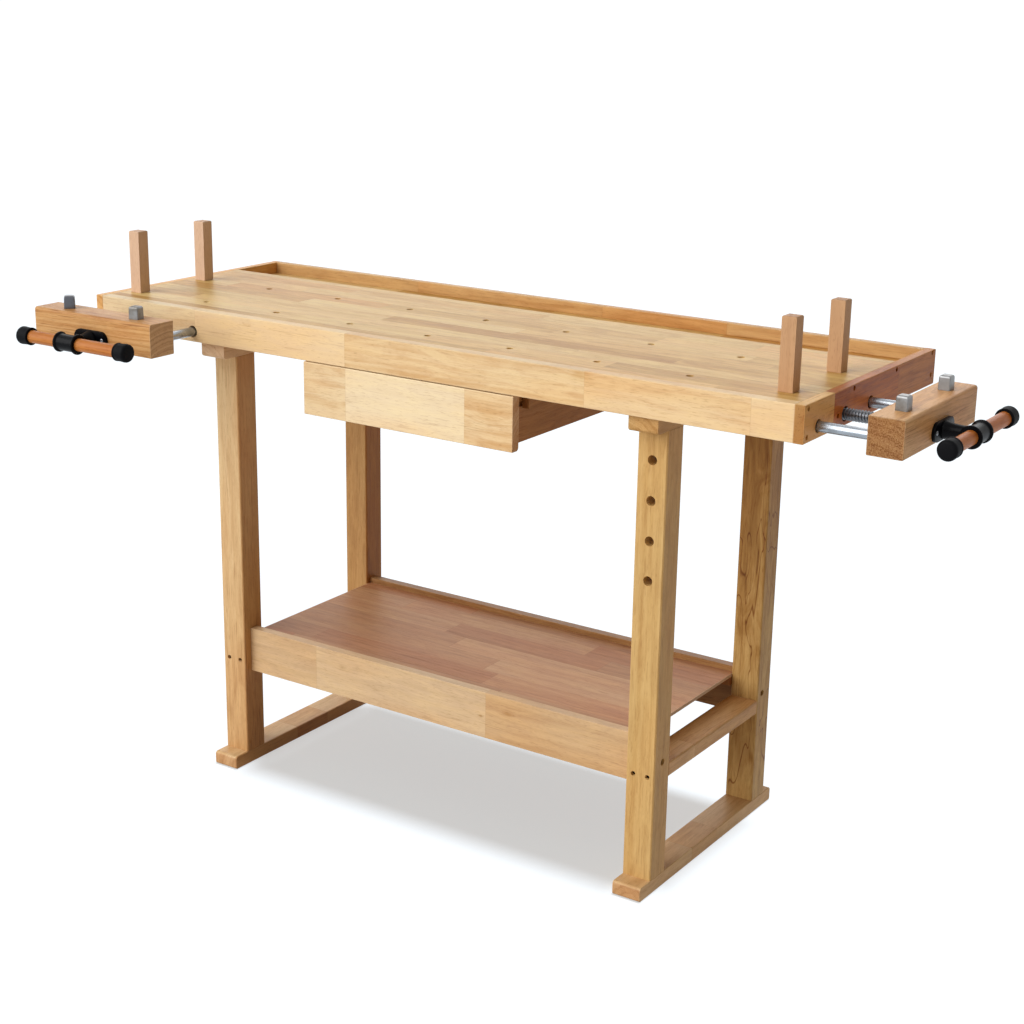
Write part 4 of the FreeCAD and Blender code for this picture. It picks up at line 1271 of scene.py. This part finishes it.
@dataclass
class Drawer:
    """The drawer box that hangs under the slab."""

    body: str = "drawer"
    boards: tuple[tuple[str, Grain], ...] = (
        ("drawer_side_left", Grain.Y), ("drawer_side_right", Grain.Y), ("drawer_back", Grain.X))

    def build(self) -> None:
        """Make every piece of the drawer."""
        Board("drawer_front", DRAWER_WOOD, Grain.X, "honey_wood", 6.0, 0.7).build(self.body)
        for seed, (node, grain) in enumerate(self.boards):
            Board(node, INNER_WOOD, grain, "inner_wood", 11.0 + seed, 0.6).build(self.body)
        dressed("drawer_bottom", INNER_WOOD, Grain.X, 15.0)


@dataclass
class ScrewVise:
    """One vise: jaw, guide rods, threaded screw, cross hub and sliding handle.

    It is laid out in millimetres with the screw along local -Y, outwards, and the bench behind
    local y = 0.
    """

    name: str
    origin: Place
    turn: float
    grain: Grain
    seed: float
    wood: Timber
    jaw_face: float = -148.0
    jaw_ease: float = 2.6
    rod_offset: float = 93.0
    rod_radius: float = 8.0
    rod_start: float = -138.0
    rod_end: float = 145.0
    chamfer: float = 1.2
    play: float = 0.3
    thread_crest: float = 9.5
    thread_root: float = 7.6
    thread_flanks: tuple[float, ...] = (0.0, 0.08, 0.34, 0.60, 0.86, 1.0)
    thread_steps: int = 24
    lead: float = 5.0
    neck_radius: float = 7.5
    neck_length: float = 5.6
    plain_start: float = 6.0
    plain_end: float = 5.6
    run_out: float = 8.0
    plate: tuple[float, float, float] = (76.0, 29.0, 5.0)
    plate_ease: float = 1.4
    plate_screws: tuple[float, float] = (-28.0, 28.0)
    plate_screw_sink: float = 0.1
    plate_screw: Outline = ((0.0, 0.0), (0.0, 3.4), (0.5, 3.2), (1.1, 2.2), (1.1, 1.1), (0.4, 0.9),
                            (0.4, 0.0))
    hub_neck: Outline = ((0.0, 0.0), (0.0, 14.0), (2.2, 14.0), (4.0, 13.0), (14.0, 10.8),
                         (26.0, 9.9), (36.0, 10.0), (40.0, 10.6), (40.0, 0.0))
    hub_reach: float = 52.0
    hub_end: float = 23.0
    hub_rim: float = 17.25
    hub_fillet: tuple[float, float] = (17.6, 14.5)
    hub_waist: float = 14.3
    handle_low: float = -116.0
    handle_high: float = 140.0
    handle_radius: float = 11.0
    cap_radius: float = 15.5
    cap_length: float = 26.0
    cap_floor: float = 6.0
    frame_at: Matrix = field(init=False)

    def __post_init__(self) -> None:
        """Work out the turn from local to world."""
        self.frame_at = (Matrix.Translation(Vector(self.origin) * MM)
                         @ Matrix.Rotation(math.radians(self.turn), 4, "Z"))

    @property
    def screw_start(self) -> float:
        """Where the screw's shoulder meets the thrust plate."""
        return self.jaw_face + self.play

    @property
    def hub_level(self) -> float:
        """Where the handle crosses the screw's line."""
        return self.jaw_face - self.hub_reach

    def facing(self, axis: Vector) -> Vector:
        """World direction of a local one."""
        return self.frame_at.to_3x3() @ axis

    def node(self, part: str) -> str:
        """Name of one of this vise's CAD nodes or pieces."""
        return self.name + "_vise_" + part

    def lathe(self, profile: Outline, x: float, y: float, axis: Vector,
              steps: int = 48) -> Making:
        """A turned form of this vise.

        Args:
            profile: Distance along the axis and radius of each point.
            x: Local place where the axis starts, across the screw.
            y: Local place where the axis starts, along the screw.
            axis: Local direction of the axis.
            steps: Facets round the form.

        Returns:
            The mesh in the making.
        """
        start = self.frame_at @ (Vector((x, y, 0.0)) * MM)
        return turning(profile, start, self.facing(axis), steps)

    def put(self, part: str, parts: Sequence[Making], body: str, finish: Finish,
            stands_for: Sequence[str] = (), sharp: float = SHARP) -> None:
        """Join meshes into one piece of this vise and seat it.

        Args:
            part: The piece's name within the vise.
            parts: The meshes, which are used up.
            body: The body's name within the vise.
            finish: Its finish.
            stands_for: Names within the vise of the CAD nodes that it replaces.
            sharp: Angle in degrees above which an edge stays sharp.
        """
        seat(joined(self.node(part), parts, sharp), self.name + "_" + body, finish,
             [self.node(node) for node in stands_for])

    def steel(self, part: str, tight: Vector, metal: Metal = ROD_STEEL) -> Finish:
        """Steel with turning lines that are tight along a local axis."""
        stretch = tuple(60.0 + 1500.0 * abs(value) for value in self.facing(tight))
        return metal.material("steel_" + self.name + "_" + part, stretch, self.seed)

    def enamel(self, part: str, shift: float = 0.0) -> Finish:
        """Black enamel for one of the castings."""
        return BLACK_ENAMEL.material("enamel_" + self.name + "_" + part, self.seed + shift)

    def build_rods(self) -> None:
        """Two polished rods with chamfered ends."""
        length, r, cut = self.rod_end - self.rod_start, self.rod_radius, self.chamfer
        profile = ((0.0, 0.0), (0.0, r - cut), (cut, r), (length - cut, r), (length, r - cut),
                   (length, 0.0))
        rods = [self.lathe(profile, x, self.rod_start, Y_AXIS, 56)
                for x in (-self.rod_offset, self.rod_offset)]
        self.put("rods", rods, "jaw", self.steel("rods", Y_AXIS), ["guide_rods"])

    def thread(self) -> Making:
        """The helical thread, right-handed, along local Y.

        Returns:
            The mesh in the making.
        """
        start, steps = self.screw_start, self.thread_steps
        turns = int((self.rod_end - start - self.lead) / self.lead)
        root, crest = [self.thread_root] * 2, [self.thread_crest] * 2
        made = bmesh.new()
        points = [made.verts.new((radius * MM, (start + part * self.lead) * MM, 0.0))
                  for part, radius in zip(self.thread_flanks, root + crest + root)]
        edges = [made.edges.new(pair) for pair in zip(points, points[1:])]
        bmesh.ops.spin(made, geom=points + edges, cent=(0, 0, 0), axis=(0, 1, 0),
                       dvec=(0, self.lead / steps * MM, 0), angle=math.tau * turns,
                       steps=steps * turns, use_merge=False, use_duplicate=False)
        bmesh.ops.remove_doubles(made, verts=made.verts[:], dist=2 * WELD)
        bmesh.ops.holes_fill(made, edges=[e for e in made.edges if e.is_boundary], sides=0)
        bmesh.ops.recalc_face_normals(made, faces=made.faces[:])
        bmesh.ops.transform(made, matrix=self.frame_at, verts=made.verts[:])
        return made

    def build_screw(self) -> None:
        """The threaded screw with plain ends and a turned neck."""
        length, cut, out = self.rod_end - self.screw_start, self.chamfer, self.run_out
        crest, root, neck = self.thread_crest, self.thread_root, self.neck_radius
        shoulder = ((-self.neck_length, 0.0), (-self.neck_length, neck), (0.0, neck), (0.0, crest),
                    (self.plain_start, crest), (out, root), (out, 0.0))
        tail = ((length - out, 0.0), (length - out, root), (length - self.plain_end, crest),
                (length - cut, crest), (length, crest - cut), (length, 0.0))
        ends = [self.lathe(profile, 0.0, self.screw_start, Y_AXIS) for profile in (shoulder, tail)]
        self.put("thread", [self.thread()] + ends, "screw",
                 self.steel("screw", X_AXIS + Z_AXIS, THREAD_STEEL), ["screw"], CRISP)

    def build_plate(self) -> None:
        """The oval thrust plate and its two screws."""
        width, height, thickness = self.plate
        radius = height / 2
        middle = width / 2 - radius
        made = bmesh.new()
        inner = []
        for side in (-1.0, 1.0):
            shift = Matrix.Translation((side * middle * MM, 0, 0))
            new = bmesh.ops.create_circle(made, cap_ends=False, segments=40, radius=radius * MM,
                                          matrix=shift)
            inner += [v for v in new["verts"] if side * v.co.x < (middle - NEAR) * MM]
        bmesh.ops.delete(made, geom=inner, context="VERTS")
        bmesh.ops.convex_hull(made, input=made.verts[:])
        bmesh.ops.dissolve_limit(made, angle_limit=math.radians(FLAT), verts=made.verts[:],
                                 edges=made.edges[:])
        grown = bmesh.ops.extrude_face_region(made, geom=made.faces[:])
        bmesh.ops.translate(made, vec=(0, 0, thickness * MM),
                            verts=[v for v in grown["geom"] if isinstance(v, bmesh.types.BMVert)])
        bmesh.ops.remove_doubles(made, verts=made.verts[:], dist=WELD)
        bmesh.ops.recalc_face_normals(made, faces=made.faces[:])
        eased(made, [e for e in made.edges if all(v.co.z > 0.5 * thickness * MM for v in e.verts)
                     and e.calc_face_angle(0.0) > math.radians(SHARP)], self.plate_ease * MM, 3)
        stand = self.frame_at @ Matrix.Translation((0, self.jaw_face * MM, 0)) @ along(-Y_AXIS)
        bmesh.ops.transform(made, matrix=stand @ Matrix.Rotation(self.plate_roll(), 4, "Z"),
                            verts=made.verts[:])
        self.put("plate", [made], "jaw", self.enamel("plate"), ["flange"])
        floor = self.jaw_face - thickness + self.plate_screw_sink
        heads = [self.lathe(self.plate_screw, x, floor, -Y_AXIS, 16) for x in self.plate_screws]
        self.put("plate_screws", heads, "jaw",
                 SCREW_STEEL.material("fixing_" + self.name + "_plate", FIXING_LINES, self.seed))

    def plate_roll(self) -> float:
        """Turn that lays the plate's long side level."""
        local = along(-Y_AXIS).to_3x3() @ X_AXIS
        return 0.0 if abs(local.x) > 0.5 else math.pi / 2

    def build_head(self) -> None:
        """The cross hub with rolled rims on a waisted neck."""
        bore, rim, end = self.handle_radius + self.play, self.hub_rim, self.hub_end
        half = [(end, bore), (end, rim - 1.2), (end - 1.2, rim), (end - 3.1, rim),
                (end - 4.3, rim - 1.0), self.hub_fillet]
        barrel = [(-place, radius) for place, radius in half] + [(0.0, self.hub_waist)]
        barrel += half[::-1] + [(-end, bore)]
        front = self.jaw_face - self.plate[2] - self.play
        parts = [self.lathe(self.hub_neck, 0.0, front, -Y_AXIS),
                 self.lathe(barrel, 0.0, self.hub_level, X_AXIS, 56)]
        self.put("hub", parts, "screw", self.enamel("hub", 1.0), ["screw_head"])

    def build_handle(self) -> None:
        """The wooden bar and its two rubber caps."""
        r, inset, hub = self.handle_radius, self.cap_floor, self.hub_level
        low, high = self.handle_low + inset, self.handle_high - inset
        bar = self.lathe(((low, 0.0), (low, r), (high, r), (high, 0.0)), 0.0, hub, X_AXIS, 56)
        wood = HANDLE_WOOD.material("wood_" + self.name + "_handle", self.grain,
                                    *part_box(self.node("handle")), self.seed)
        self.put("bar", [bar], "handle", wood, ["handle"])
        big, length = self.cap_radius, self.cap_length
        cap = ((0.0, 0.0), (0.0, big - 5.5), (0.6, big - 3.2), (2.0, big - 1.2), (4.2, big - 0.2),
               (6.5, big), (length - 3.4, big - 0.9), (length - 2.6, big - 0.2),
               (length - 0.8, big - 0.2), (length, big - 0.9), (length, r + 0.05),
               (inset, r + 0.05), (inset, 0.0))
        caps = [self.lathe(cap, end, hub, way * X_AXIS)
                for end, way in ((self.handle_low, 1.0), (self.handle_high, -1.0))]
        self.put("caps", caps, "handle",
                 BLACK_RUBBER.material("rubber_" + self.name, self.seed), ["handle_caps"])

    def build(self) -> None:
        """Make every piece of the vise, and dress the fixed nut plate, which is kept."""
        Board(self.node("jaw"), self.wood, self.grain, "jaw_wood", self.seed,
              self.jaw_ease).build(self.name + "_jaw")
        self.build_rods()
        self.build_screw()
        self.build_plate()
        self.build_head()
        self.build_handle()
        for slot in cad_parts[self.node("nut")].material_slots:
            slot.material = self.enamel("nut", 2.0)


@dataclass
class Dogs:
    """Four wooden dogs in the top and four steel ones in the jaws."""

    wooden: tuple[tuple[str, Timber], ...] = (
        ("wooden_dog_front_left", DOG_WOOD), ("wooden_dog_rear_left", DOG_WOOD),
        ("wooden_dog_front_right", RIGHT_DOG_WOOD), ("wooden_dog_rear_right", RIGHT_DOG_WOOD))
    steel: tuple[tuple[str, float, Metal], ...] = (
        ("front_jaw_dog_left", 45.0, DARK_DOG_STEEL), ("front_jaw_dog_right", 10.0, DOG_STEEL),
        ("end_jaw_dog_front", 0.0, DOG_STEEL), ("end_jaw_dog_rear", 0.0, DOG_STEEL))
    width: float = 19.0
    height: float = 22.0
    taper: float = 0.95
    corner: float = 1.6
    crown: float = 4.0
    crown_steps: int = 5
    crown_bend: float = 16.0
    crown_draw: float = 0.45
    shank_radius: float = 5.95
    shank_length: float = 26.0
    lines: Place = (420.0, 420.0, 60.0)

    def build_steel(self, node: str, turn: float, metal: Metal, seed: float) -> None:
        """One steel dog: a tapered square head with a crowned top on a round shank.

        Args:
            node: The CAD node it stands for.
            turn: Degrees it stands turned about its own axis.
            metal: The kind of steel.
            seed: Number that moves its scratches.
        """
        low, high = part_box(node)
        stand = Vector(((low.x + high.x) / 2, (low.y + high.y) / 2, high.z - self.height * MM))
        made = bmesh.new()
        shoulder = (self.height - self.crown) * MM
        bmesh.ops.create_cube(made, size=1.0, matrix=Matrix.Translation((0, 0, shoulder / 2))
                              @ Matrix.Diagonal((self.width * MM, self.width * MM, shoulder, 1.0)))
        crest = [v for v in made.verts if v.co.z > shoulder / 2]
        bmesh.ops.scale(made, vec=(self.taper, self.taper, 1.0), verts=crest)
        upright = [e for e in made.edges if len([v for v in e.verts if v in crest]) == 1]
        eased(made, upright, self.corner * MM, 3)
        top = [f for f in made.faces if f.calc_center_median().z > shoulder - NEAR * MM]
        reach, rise = 1.0, 0.0
        for step in range(1, self.crown_steps + 1):
            bend = math.radians(self.crown_bend * step)
            grown = bmesh.ops.extrude_face_region(made, geom=top)["geom"]
            bmesh.ops.delete(made, geom=top, context="FACES_ONLY")
            top = [f for f in grown if isinstance(f, bmesh.types.BMFace)]
            ring = [v for v in grown if isinstance(v, bmesh.types.BMVert)]
            share = 1.0 - self.crown_draw * (1.0 - math.cos(bend))
            bmesh.ops.scale(made, vec=(share / reach, share / reach, 1.0), verts=ring)
            lift = self.crown * MM * math.sin(bend)
            bmesh.ops.translate(made, vec=(0.0, 0.0, lift - rise), verts=ring)
            reach, rise = share, lift
        bmesh.ops.recalc_face_normals(made, faces=made.faces[:])
        bmesh.ops.transform(made, matrix=Matrix.Translation(stand)
                            @ Matrix.Rotation(math.radians(turn), 4, "Z"), verts=made.verts[:])
        radius, top_end = self.shank_radius, self.shank_length + 1.0
        shank = ((0.0, 0.0), (0.0, radius - 1.0), (1.0, radius), (top_end, radius), (top_end, 0.0))
        stem = turning(shank, Vector((stand.x, stand.y, low.z)), Z_AXIS, 40)
        piece = joined(node + "_steel", [made, stem])
        even_shading(piece)
        seat(piece, node,
             metal.material("steel_" + node, self.lines, seed), (node,))

    def build(self) -> None:
        """Make all eight dogs."""
        for seed, (node, wood) in enumerate(self.wooden):
            Board(node, wood, Grain.Z, "dog_wood", 20.0 + seed, 0.4).build(node)
        for seed, (node, turn, metal) in enumerate(self.steel):
            self.build_steel(node, turn, metal, 30.0 + seed)


# ---------------------------------------------------------------- studio
class Lit(Enum):
    """What a lamp shines on, as the floor's link state."""

    BENCH = "EXCLUDE"
    FLOOR = "INCLUDE"


@dataclass
class Studio:
    """Pale floor, plain soft light and the camera."""

    eye: Place = (1.74526, -2.55636, 1.45925)
    yaw: float = 33.61
    pitch: float = -16.92
    roll: float = 0.92
    lens: float = 64.47
    world_level: float = 0.28
    world_tint: Colour = (1.0, 0.88, 0.70)
    floor_colour: Colour = (0.40, 0.46, 0.52)
    floor_bounce: Colour = (0.46, 0.42, 0.37)
    floor_lift: float = 0.53
    floor_size: float = 200.0
    floor_casters: tuple[str, ...] = (
        "shelf_board", "front_stretcher", "rear_stretcher", "foot_left", "foot_right",
        "side_rail_left", "side_rail_right")
    lamps: tuple[tuple[str, Place, float, float, Lit], ...] = (
        ("key", (-0.50, -0.76, 0.50), 0.92, 60.0, Lit.BENCH),
        ("rear_fill", (-0.50, 0.80, 0.35), 0.28, 60.0, Lit.BENCH),
        ("floor_wash", (-0.02, 0.14, 1.0), 1.0, 16.0, Lit.FLOOR))
    floor: Piece = field(init=False)

    def build_camera(self) -> None:
        """Place the camera from its yaw, pitch and roll."""
        yaw, pitch, roll = (math.radians(v) for v in (self.yaw, self.pitch, self.roll))
        ahead = Vector((-math.sin(yaw) * math.cos(pitch), math.cos(yaw) * math.cos(pitch),
                        math.sin(pitch)))
        right = Vector((math.cos(yaw), math.sin(yaw), 0.0))
        up = right.cross(ahead)
        side = right * math.cos(roll) + up * math.sin(roll)
        top = -right * math.sin(roll) + up * math.cos(roll)
        data = bpy.data.cameras.new("camera")
        data.sensor_width, data.lens = 36.0, self.lens
        camera = bpy.data.objects.new("camera", data)
        bpy.context.scene.collection.objects.link(camera)
        turn = Matrix((side, top, -ahead)).transposed().to_4x4()
        camera.matrix_world = Matrix.Translation(self.eye) @ turn
        bpy.context.scene.camera = camera

    def build_world(self) -> None:
        """White where it is seen or mirrored, and an even soft light on everything else."""
        world = bpy.data.worlds.new("studio")
        bpy.context.scene.world = world
        world.use_nodes = True
        world.node_tree.nodes.clear()
        w = Wiring(world.node_tree)
        even, white = w.add("Background"), w.add("Background")
        even.inputs["Strength"].default_value = self.world_level
        even.inputs["Color"].default_value = (*self.world_tint, 1.0)
        white.inputs["Strength"].default_value = 1.0
        white.inputs["Color"].default_value = (1.0, 1.0, 1.0, 1.0)
        choice = w.add("MixShader")
        w.feed(choice.inputs[0], w.seen())
        w.feed(choice.inputs[1], even.outputs[0])
        w.feed(choice.inputs[2], white.outputs[0])
        w.feed(w.add("OutputWorld").inputs["Surface"], choice.outputs[0])

    def build_floor(self) -> None:
        """A wide pale floor that keeps the shadow, a little darker where it lights the bench."""
        made = bmesh.new()
        bmesh.ops.create_grid(made, x_segments=1, y_segments=1, size=self.floor_size)
        self.floor = new_piece("studio_floor", made)
        material = bpy.data.materials.new("studio_floor")
        material.use_nodes = True
        material.node_tree.nodes.clear()
        w = Wiring(material.node_tree)
        matt, lift = w.add("BsdfDiffuse"), w.add("Emission")
        seen = w.seen()
        w.feed(matt.inputs["Color"], w.blend(seen, self.floor_bounce, self.floor_colour))
        w.feed(lift.inputs["Strength"], w.times(seen, self.floor_lift))
        total = w.add("AddShader")
        w.feed(total.inputs[0], matt.outputs[0])
        w.feed(total.inputs[1], lift.outputs[0])
        w.feed(w.add("OutputMaterial").inputs["Surface"], total.outputs[0])
        self.floor.data.materials.append(material)

    def build_lamp(self, name: str, towards: Place, level: float, spread: float,
                   lights: Lit) -> None:
        """A distant soft lamp.

        Args:
            name: The lamp's name.
            towards: Direction from the bench to the lamp.
            level: Share of full light on a surface that faces it.
            spread: Its apparent size in degrees.
            lights: What it shines on.
        """
        data = bpy.data.lights.new(name, "SUN")
        data.energy, data.angle = math.pi * level, math.radians(spread)
        lamp = bpy.data.objects.new(name, data)
        bpy.context.scene.collection.objects.link(lamp)
        lamp.matrix_world = along(Vector(towards).normalized())
        receivers = bpy.data.collections.new(name + "_receivers")
        receivers.objects.link(self.floor)
        receivers.collection_objects[0].light_linking.link_state = lights.value
        lamp.light_linking.receiver_collection = receivers
        if lights is Lit.FLOOR:
            casters = bpy.data.collections.new(name + "_casters")
            for node in self.floor_casters:
                casters.objects.link(bpy.data.objects[node + "_board"])
            lamp.light_linking.blocker_collection = casters

    def build(self) -> None:
        """Set up the whole studio."""
        bpy.context.scene.view_settings.view_transform = "Standard"
        self.build_camera()
        self.build_world()
        self.build_floor()
        for lamp in self.lamps:
            self.build_lamp(*lamp)


def main() -> None:
    """Build the bench and its studio in order."""
    logging.basicConfig(level=logging.INFO, format="%(message)s", stream=sys.stdout)
    Effects.make()
    BenchTop().build()
    LegFrames().build()
    Drawer().build()
    ScrewVise("front", (-559.0, -245.0, 821.0), 0.0, Grain.X, 41.0, FRONT_JAW_WOOD).build()
    ScrewVise("end", (700.0, -104.0, 821.0), 90.0, Grain.Y, 52.0, END_JAW_WOOD).build()
    Dogs().build()
    Studio().build()


if __name__ == "__main__":
    main()
